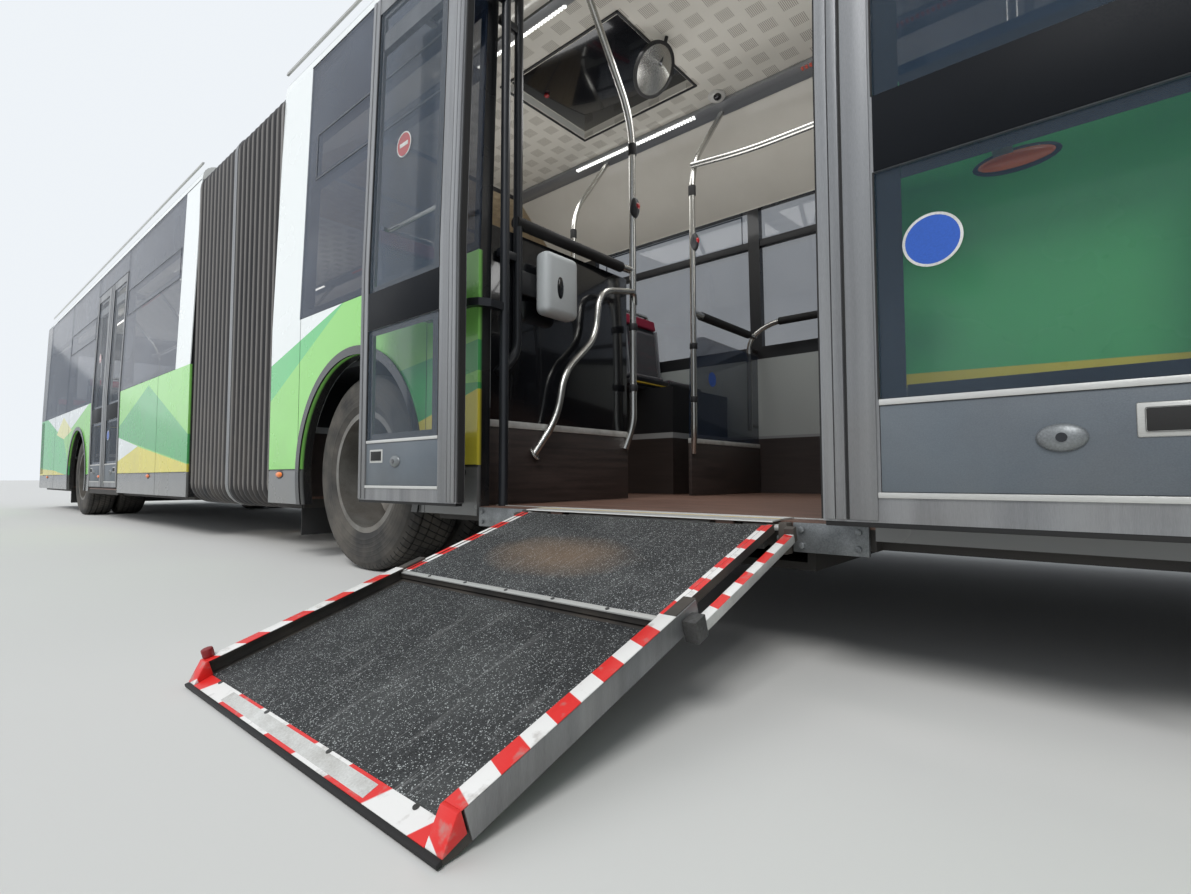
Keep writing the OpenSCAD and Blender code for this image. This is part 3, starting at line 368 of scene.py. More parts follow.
@dataclass(frozen=True)
class Coat(Finish):
    """A paint, plastic, rubber or metal with mottling, fine grain and road dust."""

    colour: Colour = (0.5, 0.5, 0.5)
    worn: Colour = (0.4, 0.4, 0.4)
    rough: float = 0.45
    metal: float = 0.0
    grain: float = 300.0
    grain_depth: float = 0.0004
    stretch: Point = (1, 1, 1)
    cloud: float = 3.0
    dust: float = 0.0
    dust_top: float = 1.0
    gloss_coat: float = 0.0
    specular: float = 0.5

    def lay(self, sheet: Sheet) -> None:
        """Mottles the colour and the gloss, and adds a fine grain."""
        cloud = sheet.noise(self.cloud, 5.0, self.stretch)
        fine = sheet.noise(self.grain, 2.0, self.stretch)
        share = sheet.math("MULTIPLY_ADD", fine, 0.35, sheet.times(cloud, 0.65))
        colour = sheet.mix(sheet.rise(share, 0.38, 0.66), self.colour, self.worn)
        if self.dust:
            colour = sheet.dusted(colour, ROAD_DUST, self.dust_top, self.dust)
        sheet.set(Base_Color=colour, Metallic=self.metal, Coat_Weight=self.gloss_coat,
                  Specular_IOR_Level=self.specular)
        sheet.set(Roughness=sheet.rise(share, 0.3, 0.75, self.rough * 0.8, min(1.0, self.rough * 1.25)))
        sheet.relief(fine, self.grain_depth, 0.6)


@dataclass(frozen=True)
class Pane(Finish):
    """Tinted glass with a thin film of dust; the blue cast of its colour is a painted sky reflection."""

    tint_and_sky_reflection: Colour = (0.02, 0.03, 0.045)
    body: float = 0.7
    haze: Colour = (0.1, 0.13, 0.17)

    def lay(self, sheet: Sheet) -> None:
        """Sets how dark the glass is, with a painted sky reflection in its blue, and where dust clouds it.
        """
        film = sheet.rise(sheet.noise(1.6, 5.0), 0.35, 0.75)
        # The blue of the tint is a painted sky reflection over the glass's real dark tint.
        sheet.set(Base_Color=sheet.mix(sheet.times(film, 0.35), self.tint_and_sky_reflection, self.haze))
        sheet.set(Roughness=sheet.rise(film, 0.0, 1.0, 0.03, 0.09))
        sheet.set(Alpha=sheet.rise(film, 0.0, 1.0, self.body, min(1.0, self.body + 0.06)))
        sheet.set(IOR=1.52)


class Paint(Enum):
    """The colours of the body's pattern."""

    LIGHT_GREEN = linear(140, 214, 104)
    MID_GREEN = linear(92, 196, 116)
    DARK_GREEN = linear(76, 176, 98)
    WHITE = linear(236, 240, 238)
    YELLOW = linear(228, 214, 72)
    PALE_YELLOW = linear(236, 232, 158)


# Coloured fields of the sides: paint, then corners as distance from the middle axle and height
FIELDS = (
    (Paint.DARK_GREEN, ((-4.76, 0.96), (-4.76, 0.85), (-2.53, 0.56), (-2.53, 0.78), (-3.7, 1.274))),
    (Paint.WHITE, ((-4.77, 0.855), (-4.77, 0.61), (-4.0, 0.742))),
    (Paint.YELLOW, ((-4.77, 0.615), (-4.77, 0.48), (-2.53, 0.48), (-2.53, 0.553), (-4.0, 0.738))),
    (Paint.MID_GREEN, ((-9.9, 1.33), (-9.9, 0.62), (-7.3, 0.48), (-7.89, 0.974), (-9.3, 1.33))),
    (Paint.WHITE, ((-9.3, 1.33), (-7.89, 0.974), (-6.25, 1.33))),
    (Paint.PALE_YELLOW, ((-8.45, 1.057), (-7.89, 0.974), (-7.316, 1.063), (-7.94, 1.27))),
    (Paint.YELLOW, ((-10.2, 0.48), (-7.46, 0.48), (-8.6, 0.56), (-10.2, 0.6))),
    (Paint.WHITE, ((-0.99, 1.104), (-0.1, 1.327), (-0.99, 1.327))),
    (Paint.MID_GREEN, ((-0.99, 0.893), (-0.1, 1.327), (-0.99, 1.105))),
    (Paint.DARK_GREEN, ((0.5, 0.79), (0.97, 0.856), (0.97, 0.973), (0.3, 0.9))),
    (Paint.DARK_GREEN, ((0.45, 0.648), (0.97, 0.787), (0.97, 0.808), (0.45, 0.826))),
    (Paint.YELLOW, ((0.42, 0.48), (0.97, 0.48), (0.97, 0.786), (0.42, 0.64))),
    (Paint.MID_GREEN, ((2.35, 0.66), (3.6, 0.48), (4.05, 1.33), (2.35, 1.33))),
    (Paint.YELLOW, ((2.35, 0.48), (4.2, 0.48), (4.2, 0.62), (2.35, 0.67))),
    (Paint.DARK_GREEN, ((3.9, 0.48), (4.7, 0.48), (4.7, 0.95), (4.25, 1.33))),
    (Paint.WHITE, ((4.3, 1.33), (5.1, 1.1), (6.06, 1.33))),
    (Paint.MID_GREEN, ((5.1, 1.1), (6.09, 0.9), (6.09, 1.33))),
    (Paint.YELLOW, ((7.47, 0.48), (8.2, 0.48), (8.2, 0.74), (7.47, 0.6))),
    (Paint.DARK_GREEN, ((7.47, 0.6), (8.2, 0.74), (8.2, 0.98), (7.47, 1.2))),
)
SKIRT_GREY = linear(112, 113, 112)
LINING_BROWN = linear(44, 38, 36)
LINING_GREY = linear(176, 181, 178)
LINING_WHITE = linear(216, 213, 203)
TRIM_BLACK = linear(20, 22, 25)


class Part(Enum):
    """Where a painted panel belongs, since each has its own upper part."""

    SIDE = "side"
    END = "end"
    ROOF = "roof"


@dataclass(frozen=True)
class Livery(Finish):
    """The body's paint outside, its black glass bed and its linings inside."""

    part: Part = Part.SIDE

    def field(self, sheet: Sheet, corners: Sequence[Point]) -> Socket:
        """1 inside a convex field whose corners run against the clock, else 0."""
        x, _, z = sheet.axes()
        spot = sheet.joined(x, z, 1.0)
        nearest: Socket | None = None
        for (x0, z0), (x1, z1) in zip(corners, (*corners[1:], corners[0])):
            length = math.hypot(x1 - x0, z1 - z0)
            across, up = (z0 - z1) / length, (x1 - x0) / length
            edge = sheet.dot(spot, (across, up, -across * x0 - up * z0))
            nearest = edge if nearest is None else sheet.math("MINIMUM", nearest, edge)
        return sheet.rise(nearest, -0.001, 0.001)

    def pattern(self, sheet: Sheet) -> Socket:
        """The coloured fields over light green, with the grey skirt below."""
        z = sheet.axes()[2]
        colour: object = Paint.LIGHT_GREEN.value
        for paint, corners in FIELDS:
            colour = sheet.mix(self.field(sheet, corners), colour, paint.value)
        return sheet.mix(sheet.above(z, BODY.seam), SKIRT_GREY, colour)

    def lining(self, sheet: Sheet) -> Socket:
        """Wood-look kick panel, metal strip, grey panel, black window frames and a white upper part."""
        z = sheet.axes()[2]
        wood = sheet.noise(9.0, 6.0, (0.35, 1, 6))
        colour: object = sheet.mix(wood, LINING_BROWN, linear(68, 57, 53))
        for height, tone in ((0.715, linear(150, 152, 152)), (0.733, LINING_GREY), (1.275, TRIM_BLACK),
                             (2.345, LINING_WHITE)):
            colour = sheet.mix(sheet.above(z, height), colour, tone)
        return colour

    def slots(self, sheet: Sheet) -> Socket:
        """1 in the fine slots of the ceiling plates, which stand in staggered groups, else 0."""
        x, y, z = sheet.axes()
        along = sheet.math("DIVIDE", x, 0.14)
        odd = sheet.math("MODULO", sheet.plus(sheet.math("FLOOR", along), 200.0), 2.0)
        across = sheet.plus(sheet.math("DIVIDE", y, 0.14), sheet.times(odd, 0.5))
        group = sheet.times(sheet.inside(sheet.math("FRACT", along), 0.2, 0.8, 0.01),
                           sheet.inside(sheet.math("FRACT", across), 0.22, 0.78, 0.01))
        fine = sheet.inside(sheet.math("FRACT", sheet.times(x, 110.0)), 0.0, 0.45, 0.05)
        flat = sheet.times(sheet.inside(y, -0.6, 0.6), sheet.inside(z, 2.8, 2.86))
        return sheet.times(sheet.times(group, fine), flat)

    def lay(self, sheet: Sheet) -> None:
        """Chooses between paint, glass bed and lining by place and by how the surface faces."""
        x, y, z = sheet.axes()
        facing = sheet.node("TexCoord").outputs["Normal"]
        side = sheet.math("ABSOLUTE", y)
        upper = sheet.above(z, BODY.belt)
        orange = sheet.noise(70.0, 1.0)
        film = sheet.noise(2.4, 5.0)
        if self.part is Part.ROOF:
            stain = sheet.rise(film, 0.4, 0.8, 0.0, 0.25)
            outer: object = sheet.mix(stain, Paint.WHITE.value, linear(190, 190, 182))
            inner = sheet.mix(sheet.rise(film, 0.4, 0.8, 0.0, 0.4), LINING_WHITE, linear(190, 186, 174))
            # Painted shade: the ceiling plates' slots are greyed darker than the plates, for the shade
            # inside them.
            inner = sheet.mix(self.slots(sheet), inner, linear(156, 151, 140))
            above = sheet.minus(z, 2.0)
            within = sheet.rise(sheet.dot(sheet.joined(0.0, y, above), facing), -0.02, 0.02, 1.0, 0.0)
        elif self.part is Part.END:
            top = sheet.rise(z, BODY.cant + 0.02, BODY.cant + 0.024)
            outer = sheet.mix(upper, self.pattern(sheet), sheet.mix(top, TRIM_BLACK, Paint.WHITE.value))
            inner = sheet.mix(sheet.noise(4.0), TRIM_BLACK, linear(46, 48, 52))
            out = sheet.math("SIGN", sheet.plus(x, 1.0))
            spot = sheet.joined(sheet.times(out, 2.0), sheet.times(y, 1.2), 0.0)
            within = sheet.rise(sheet.dot(spot, facing), -0.05, 0.0, 1.0, 0.0)
        else:
            lean = sheet.rise(z, BODY.belt, BODY.eave, BODY.half_w, BODY.half_w - BODY.lean)
            depth = sheet.minus(lean, side)
            outer = sheet.mix(upper, self.pattern(sheet), Paint.WHITE.value)
            bed = sheet.above(depth, 0.006)
            outer = sheet.mix(sheet.times(bed, upper), outer, TRIM_BLACK)
            outer = sheet.mix(sheet.rise(depth, 0.0075, 0.02), outer, TRIM_BLACK)
            outer = sheet.mix(sheet.rise(depth, -0.0025, -0.0015, 1.0, 0.0), outer, TRIM_BLACK)
            inner = self.lining(sheet)
            within = sheet.above(depth, BODY.wall - 0.001)
        outer = sheet.dusted(outer, ROAD_DUST, 1.3, 0.22)
        sheet.set(Base_Color=sheet.mix(within, outer, inner))
        sheet.set(Roughness=sheet.blend(within, sheet.rise(film, 0.3, 0.8, 0.2, 0.34), 0.55))
        sheet.set(Coat_Weight=0.35, Coat_Roughness=0.08)
        sheet.relief(orange, 0.00008, 0.2)


@dataclass(frozen=True)
class FloorCover(Finish):
    """Wood-look floor covering above, painted steel below, and lined wheel boxes."""

    def lay(self, sheet: Sheet) -> None:
        """Lays planks on the floor and the covering up the wheel boxes."""
        x, y, z = sheet.axes()
        grain = sheet.noise(14.0, 7.0, (0.25, 3.0, 1.0))
        plank = sheet.math("FRACT", sheet.times(y, 8.0))
        joint = sheet.inside(plank, 0.0, 0.02, 0.004)
        wood = sheet.mix(sheet.rise(grain, 0.3, 0.7), linear(86, 62, 52), linear(128, 98, 84))
        wood = sheet.mix(joint, wood, linear(60, 44, 38))
        panel = sheet.mix(sheet.noise(9.0, 6.0, (0.35, 1, 6)), LINING_BROWN, linear(68, 57, 53))
        strip = sheet.inside(z, 0.7, 0.735)
        panel = sheet.mix(strip, panel, linear(165, 167, 167))
        panel = sheet.mix(sheet.above(z, 0.735), panel, linear(30, 31, 34))
        above = sheet.rise(z, BODY.floor - 0.012, BODY.floor - 0.01)
        deck = sheet.mix(sheet.rise(z, BODY.floor + 0.001, BODY.floor + 0.004), wood, panel)
        steel = sheet.mix(sheet.noise(6.0, 6.0), linear(34, 34, 35), linear(66, 61, 55))
        sheet.set(Base_Color=sheet.mix(above, steel, deck))
        sheet.set(Roughness=sheet.blend(above, 0.7, 0.5))
        sheet.relief(sheet.noise(260.0, 2.0), 0.0006, 0.5)


@dataclass(frozen=True)
class Rubber(Finish):
    """Tyre rubber, dusty on its walls, with moulded rings and a cut tread."""

    def lay(self, sheet: Sheet) -> None:
        """Greys the rubber, darkens the sipes with painted shade, and raises rings and sipes about the
        nearest axle.
        """
        x, y, z = sheet.axes()
        up = sheet.minus(z, BODY.tyre_r)
        radius: Socket | None = None
        angle: Socket | None = None
        for axle in (0.0, BODY.front_axle, BODY.rear_axle):
            along = sheet.minus(x, axle)
            away = sheet.vector("LENGTH", sheet.joined(along, up, 0.0)).outputs[1]
            turn = sheet.math("ARCTAN2", up, along)
            if radius is None:
                radius, angle = away, turn
            else:
                nearer = sheet.math("LESS_THAN", away, radius)
                angle = sheet.blend(nearer, angle, turn)
                radius = sheet.math("MINIMUM", away, radius)
        cloud = sheet.noise(7.0, 6.0)
        colour = sheet.mix(sheet.rise(cloud, 0.35, 0.7), linear(48, 47, 46), linear(92, 87, 80))
        tread = sheet.rise(radius, 0.452, 0.456)
        slanted = sheet.math("MULTIPLY_ADD", y, 90.0, sheet.times(angle, 84.0))
        sipe = sheet.times(sheet.rise(sheet.sine(slanted), 0.8, 0.92), tread)
        rings = sheet.rise(sheet.sine(sheet.times(radius, 310.0)), 0.2, 0.8)
        wall = sheet.times(sheet.inside(radius, 0.315, 0.42, 0.004), rings)
        # Painted shade: the sipes' cuts are darkened to near black.
        colour = sheet.mix(sipe, colour, linear(24, 24, 24))
        sheet.set(Base_Color=colour, Roughness=0.82)
        sheet.relief(sheet.minus(sheet.times(wall, 0.35), sipe), 0.003, 0.9)
        sheet.relief(sheet.noise(180.0, 3.0), 0.0008, 0.7)


@dataclass(frozen=True)
class Ribs(Finish):
    """Coated bellows cloth, dark outside or cream inside."""

    colour: Colour = (0.03, 0.03, 0.03)
    worn: Colour = (0.06, 0.06, 0.06)
    crest_highlight: Colour | None = None

    def lay(self, sheet: Sheet) -> None:
        """Adds the cloth's cross weave, streaks of dirt, a faint sheen and a painted highlight on the fold
        crests.
        """
        _, y, z = sheet.axes()
        weft = sheet.sine(sheet.times(z, 2600.0))
        warp = sheet.sine(sheet.times(y, 2600.0))
        streak = sheet.noise(3.0, 6.0, (6, 6, 0.4))
        colour = sheet.mix(sheet.rise(streak, 0.35, 0.7), self.colour, self.worn)
        if self.crest_highlight:
            # Painted highlight: the outermost crests of the folds are lightened.
            flank = sheet.rise(sheet.math("ABSOLUTE", y), 1.2375, 1.2415)
            crown = sheet.math("MAXIMUM", flank, sheet.rise(z, 2.8425, 2.8465))
            colour = sheet.mix(sheet.times(crown, 0.8), colour, self.crest_highlight)
        sheet.set(Base_Color=sheet.dusted(colour, ROAD_DUST, 1.4, 0.35))
        sheet.set(Roughness=0.62, Sheen_Weight=0.15)
        sheet.relief(sheet.plus(weft, warp), 0.00015, 0.35)


@dataclass(frozen=True)
class GritCoat(Finish):
    """The ramp's anti-slip coating, with grains lit by painted glints, scuffs and a brown mark."""

    frame_at: Matrix = field(default_factory=Matrix, compare=False)

    def lay(self, sheet: Sheet) -> None:
        """Scatters grains over black, lightening some as painted glints, and lays dirt over both."""
        x, away, _ = sheet.turned(self.frame_at)
        cells = sheet.grains(620.0)
        spark, dull, _ = sheet.random(cells)
        # Painted glints: some grains are lightened to a pale grey in the base colour.
        painted_glint = sheet.rise(spark, 0.91, 0.99)
        dim = sheet.rise(dull, 0.3, 1.0)
        cloud = sheet.noise(4.5, 6.0)
        base = sheet.mix(dim, linear(22, 23, 24), linear(58, 60, 61))
        base = sheet.mix(sheet.rise(cloud, 0.45, 0.75, 0.0, 0.35), base, linear(104, 106, 104))
        colour = sheet.mix(painted_glint, base, linear(196, 200, 198))
        wide = sheet.math("POWER", sheet.math("DIVIDE", sheet.plus(x, 0.03), 0.22), 2.0)
        deep = sheet.math("POWER", sheet.math("DIVIDE", sheet.plus(away, 0.3), 0.11), 2.0)
        mark = sheet.rise(sheet.plus(sheet.plus(wide, deep), sheet.noise(11.0, 5.0)), 0.5, 1.9, 0.6, 0.0)
        colour = sheet.mix(mark, colour, linear(128, 106, 84))
        for scale, stretch, most in ((26.0, (9.0, 0.25, 0.25), 0.45), (9.0, (7.0, 0.5, 0.5), 0.22)):
            lines = sheet.rise(sheet.noise(scale, 2.0, stretch), 0.62, 0.74, 0.0, most)
            colour = sheet.mix(lines, colour, linear(150, 150, 148))
        sheet.set(Base_Color=colour)
        sheet.set(Roughness=sheet.rise(spark, 0.7, 1.0, 0.72, 0.35))
        sheet.relief(cells.outputs["Distance"], 0.001, 0.8)


@dataclass(frozen=True)
class WarningTape(Finish):
    """Red and white slanted stripes, scuffed, along or across the ramp."""

    frame_at: Matrix = field(default_factory=Matrix, compare=False)
    pitch: float = 0.105
    slant: float = 0.35
    across: bool = False

    def lay(self, sheet: Sheet) -> None:
        """Paints the stripes in the ramp's own frame."""
        x, away, _ = sheet.turned(self.frame_at)
        run, side = (x, away) if self.across else (away, x)
        slanted = sheet.plus(run, sheet.times(sheet.math("ABSOLUTE", side), self.slant))
        phase = sheet.math("FRACT", sheet.math("DIVIDE", sheet.plus(slanted, 10.0), self.pitch))
        red = sheet.inside(phase, 0.0, 0.5, 0.008)
        colour = sheet.mix(red, linear(232, 230, 226), linear(222, 42, 38))
        scuff = sheet.rise(sheet.noise(34.0, 6.0), 0.56, 0.7, 0.0, 0.55)
        sheet.set(Base_Color=sheet.mix(scuff, colour, linear(158, 150, 142)))
        sheet.set(Roughness=0.42)
        sheet.relief(sheet.noise(240.0, 2.0), 0.0003, 0.4)


@dataclass(frozen=True)
class Glow(Finish):
    """A lamp's lens, lit or not."""

    colour: Colour = (1.0, 1.0, 1.0)
    strength: float = 1.0

    def lay(self, sheet: Sheet) -> None:
        """Sets the light with a slight unevenness."""
        share = sheet.rise(sheet.noise(40.0, 2.0), 0.3, 0.7, 0.0, 0.3)
        colour = sheet.mix(share, self.colour, tuple(c * 0.85 for c in self.colour))
        sheet.set(Base_Color=colour, Emission_Color=colour, Emission_Strength=self.strength, Roughness=0.4)


@dataclass(frozen=True)
class Cloth(Finish):
    """Woven seat cloth with small flecks of colour."""

    ground: Colour = (0.02, 0.02, 0.03)
    lift: Colour = (0.05, 0.05, 0.07)
    fleck: Colour = (0.35, 0.03, 0.12)

    def lay(self, sheet: Sheet) -> None:
        """Weaves warp and weft, strews flecks and adds a soft sheen."""
        x, y, z = sheet.axes()
        warp = sheet.sine(sheet.times(y, 3400.0))
        weft = sheet.sine(sheet.times(sheet.plus(x, z), 3400.0))
        weave = sheet.times(warp, weft)
        colour = sheet.mix(sheet.rise(weave, -0.6, 0.8), self.ground, self.lift)
        cells = sheet.grains(95.0)
        near = sheet.rise(cells.outputs["Distance"], 0.18, 0.26, 1.0, 0.0)
        strewn = sheet.times(near, sheet.rise(sheet.random(cells)[0], 0.72, 0.76))
        colour = sheet.mix(strewn, colour, self.fleck)
        worn = sheet.rise(sheet.noise(6.0, 5.0), 0.45, 0.8, 0.0, 0.3)
        sheet.set(Base_Color=sheet.mix(worn, colour, self.lift), Roughness=0.85, Sheen_Weight=0.3)
        sheet.relief(weave, 0.0004, 0.6)


def coat(name: str, light: tuple[int, int, int], dark: tuple[int, int, int], **more: object) -> Coat:
    """A coat whose two tones are given as they look, in parts of 255."""
    return Coat(name, linear(*light), linear(*dark), **more)


ALUMINIUM = coat("door_aluminium", (150, 151, 152), (118, 119, 121), rough=0.42, metal=0.55, grain=700.0,
                 stretch=(4, 4, 0.12), cloud=5.0, dust=0.3)
ALUMINIUM_BAR = coat("bar_aluminium", (206, 206, 202), (176, 175, 170), rough=0.38, metal=0.3, grain=500.0,
                     stretch=(0.15, 4, 4), cloud=5.0)
PANEL_GREY = coat("door_panel_grey", (98, 107, 114), (84, 91, 98), rough=0.5, grain=420.0, dust=0.25)
BLACK_STEEL = coat("black_steel", (38, 38, 39), (62, 58, 53), rough=0.7, cloud=6.0, dust=0.45)
BLACK_PLASTIC = coat("black_plastic", (26, 27, 29), (38, 39, 41), rough=0.5, grain=500.0)
DOOR_SHAFT = coat("door_shaft_black", (22, 24, 28), (34, 37, 42), rough=0.35, grain=380.0)
CAST_METAL = coat("cast_metal", (92, 92, 92), (66, 64, 60), rough=0.6, metal=0.5, grain=160.0,
    grain_depth=0.0008)
STAINLESS = coat("stainless_steel", (206, 205, 200), (176, 175, 170), rough=0.24, metal=0.95, grain=900.0)
WHEEL_METAL = coat("wheel_metal", (128, 126, 121), (92, 88, 82), rough=0.5, metal=0.35, cloud=9.0, dust=0.5)
ENGINE_IRON = coat("engine_iron", (84, 86, 88), (58, 57, 55), rough=0.6, metal=0.4)
SEAT_SHELL = coat("seat_shell", (36, 37, 40), (50, 51, 54), rough=0.4, grain=600.0)
# The blue in both panes' tints is a painted sky reflection.
TINTED_GLASS = Pane("tinted_glass", linear(34, 50, 74), 0.5, linear(96, 112, 132))
DOOR_GLASS = Pane("door_glass", linear(44, 66, 84), 0.2, linear(110, 122, 134))
SIDE_PAINT = Livery("body_paint", Part.SIDE)
END_PAINT = Livery("end_paint", Part.END)
ROOF_PAINT = Livery("roof_paint", Part.ROOF)
FLOOR_COVER = FloorCover("floor_covering")
TYRE_RUBBER = Rubber("tyre_rubber")
# The dark bellows' third colour is the painted highlight on the fold crests.
BELLOWS_DARK = Ribs("bellows_dark", linear(40, 40, 43), linear(60, 58, 58), linear(122, 118, 114))
BELLOWS_CREAM = Ribs("bellows_cream", linear(206, 190, 158), linear(178, 160, 130))
RUBBER_TRIM = coat("rubber_trim", (25, 25, 26), (40, 39, 38), rough=0.75, grain=380.0)
GALVANISED = coat("galvanised", (142, 145, 146), (104, 107, 108), rough=0.45, metal=0.6, cloud=14.0)
GLOSS_BLACK = coat("gloss_black", (17, 18, 21), (25, 27, 31), rough=0.14, gloss_coat=0.6,
    grain_depth=0.00005)
HOPPER_FRAME = coat("hopper_frame", (62, 68, 76), (48, 53, 60), rough=0.4, grain=400.0)
FRIT = coat("glass_frit", (12, 15, 19), (18, 21, 26), rough=0.5, grain_depth=0.00005, specular=0.12)
AMBER_LENS = coat("amber_lens", (244, 128, 34), (224, 96, 22), rough=0.2, gloss_coat=0.5,
    grain_depth=0.0001)
RED_LENS = coat("red_lens", (178, 24, 26), (140, 14, 18), rough=0.2, gloss_coat=0.5, grain_depth=0.0001)
CLEAR_LENS = coat("clear_lens", (206, 212, 216), (168, 176, 182), rough=0.12, gloss_coat=0.6,
    grain_depth=0.0001)
RED_CAP = coat("red_cap", (140, 32, 34), (108, 24, 27), rough=0.5)
YELLOW_MARK = coat("yellow_mark", (216, 186, 96), (180, 152, 78), rough=0.6, cloud=20.0)
LABEL_WHITE = coat("label_white", (214, 214, 210), (180, 178, 172), rough=0.5, cloud=20.0)
SIGN_BLUE = coat("sign_blue", (44, 92, 186), (36, 78, 160), rough=0.35)
WOOD_PANEL = coat("wood_panel", (44, 38, 36), (68, 57, 53), rough=0.5, stretch=(1, 0.35, 6), cloud=9.0)
SALOON_GREY = coat("saloon_grey", (186, 190, 190), (170, 175, 175), rough=0.5)
CEILING_TRIM = coat("ceiling_trim", (166, 169, 172), (140, 144, 148), rough=0.35, metal=0.6,
    stretch=(0.2, 4, 4))
SEAT_GREY = coat("seat_grey", (150, 152, 156), (126, 128, 134), rough=0.5)
SEAT_YELLOW = coat("seat_yellow", (224, 190, 44), (200, 164, 36), rough=0.45)
SEAT_RED = coat("seat_red", (168, 34, 66), (132, 24, 52), rough=0.8, grain=600.0)
SEAT_CLOTH = Cloth("seat_cloth", linear(34, 34, 40), linear(62, 62, 70), linear(168, 34, 70))
MIRROR = coat("mirror_glass", (196, 202, 206), (186, 192, 198), rough=0.06, metal=1.0, grain_depth=0.00002)
LAMP_LIT = Glow("lamp_lit", linear(252, 252, 246), 2.5)
LAMP_RED = Glow("lamp_red", linear(196, 92, 78), 0.15)


def finish_of(node: str) -> tuple[Finish, str]:
    """The finish and the record's slot of a CAD node.

    Args:
        node: The node's name.
    Returns:
        The finish and the slot's name.
    """
    table: tuple[tuple[str, Finish, str], ...] = (
        ("_side", SIDE_PAINT, "body_paint"), ("_roof", ROOF_PAINT, "roof_paint"),
        ("front_mask", END_PAINT, "body_paint"), ("rear_panel", END_PAINT, "body_paint"),
        ("windscreen", TINTED_GLASS, "tinted_glass"),
        ("door_", DOOR_SHAFT, "black_steel"), ("_glass", TINTED_GLASS, "tinted_glass"),
        ("_floor", FLOOR_COVER, "floor_covering"), ("turntable", FLOOR_COVER, "floor_covering"),
        ("hoop", ALUMINIUM, "door_aluminium"), ("bellows", BELLOWS_DARK, "bellows_fabric"),
        ("knuckle", CAST_METAL, "cast_metal"), ("_axle", CAST_METAL, "cast_metal"),
        ("tyre", TYRE_RUBBER, "tyre"), ("rim", WHEEL_METAL, "wheel_metal"),
        ("_seats", SEAT_SHELL, "seat_fabric"), ("_rails", STAINLESS, "stainless_steel"),
        ("drivers_cab", BLACK_PLASTIC, "black_plastic"), ("mirrors", BLACK_PLASTIC, "black_plastic"),
        ("ramp", BLACK_STEEL, "ramp_coating"), ("engine", ENGINE_IRON, "cast_metal"),
    )
    if node.startswith("door_"):
        if node.endswith("_leaf"):
            return ALUMINIUM, "door_aluminium"
        if node.endswith("_glass"):
            return DOOR_GLASS, "tinted_glass"
    for word, finish, slot in table:
        if word in node:
            return finish, slot
    raise ValueError(node)


def deselect() -> None:
    """Leaves nothing selected."""
    bpy.ops.object.select_all(action="DESELECT")


def apply_place() -> None:
    """Moves the place, turn and scale of the shape just modelled into its mesh."""
    bpy.ops.object.transform_apply(location=True, rotation=True, scale=True)


def link(made: Shape) -> Shape:
    """Puts an object into the scene."""
    bpy.context.scene.collection.objects.link(made)
    return made


def fuse(shapes: Sequence[Shape]) -> Shape:
    """Joins shapes into the first one."""
    deselect()
    for shape in shapes:
        shape.select_set(True)
    bpy.context.view_layer.objects.active = shapes[0]
    if len(shapes) > 1:
        bpy.ops.object.join()
    return bpy.context.view_layer.objects.active


def rounded_route(points: Sequence[Point], bend: float, steps: int = 6) -> list[Vector]:
    """A route with its inner corners rounded by arcs.

    Args:
        points: The route's corners.
        bend: Length taken off each leg beside a corner.
        steps: Points on each rounded corner.
    Returns:
        The points of the rounded route.
    """
    corners = [Vector(p) for p in points]
    route = [corners[0]]
    for before, here, after in zip(corners, corners[1:], corners[2:]):
        reach = min(bend, (before - here).length * 0.49, (after - here).length * 0.49)
        start = here + (before - here).normalized() * reach
        end = here + (after - here).normalized() * reach
        for i in range(steps + 1):
            t = i / steps
            route.append(start * (1 - t) ** 2 + here * 2 * t * (1 - t) + end * t ** 2)
    return [*route, corners[-1]]


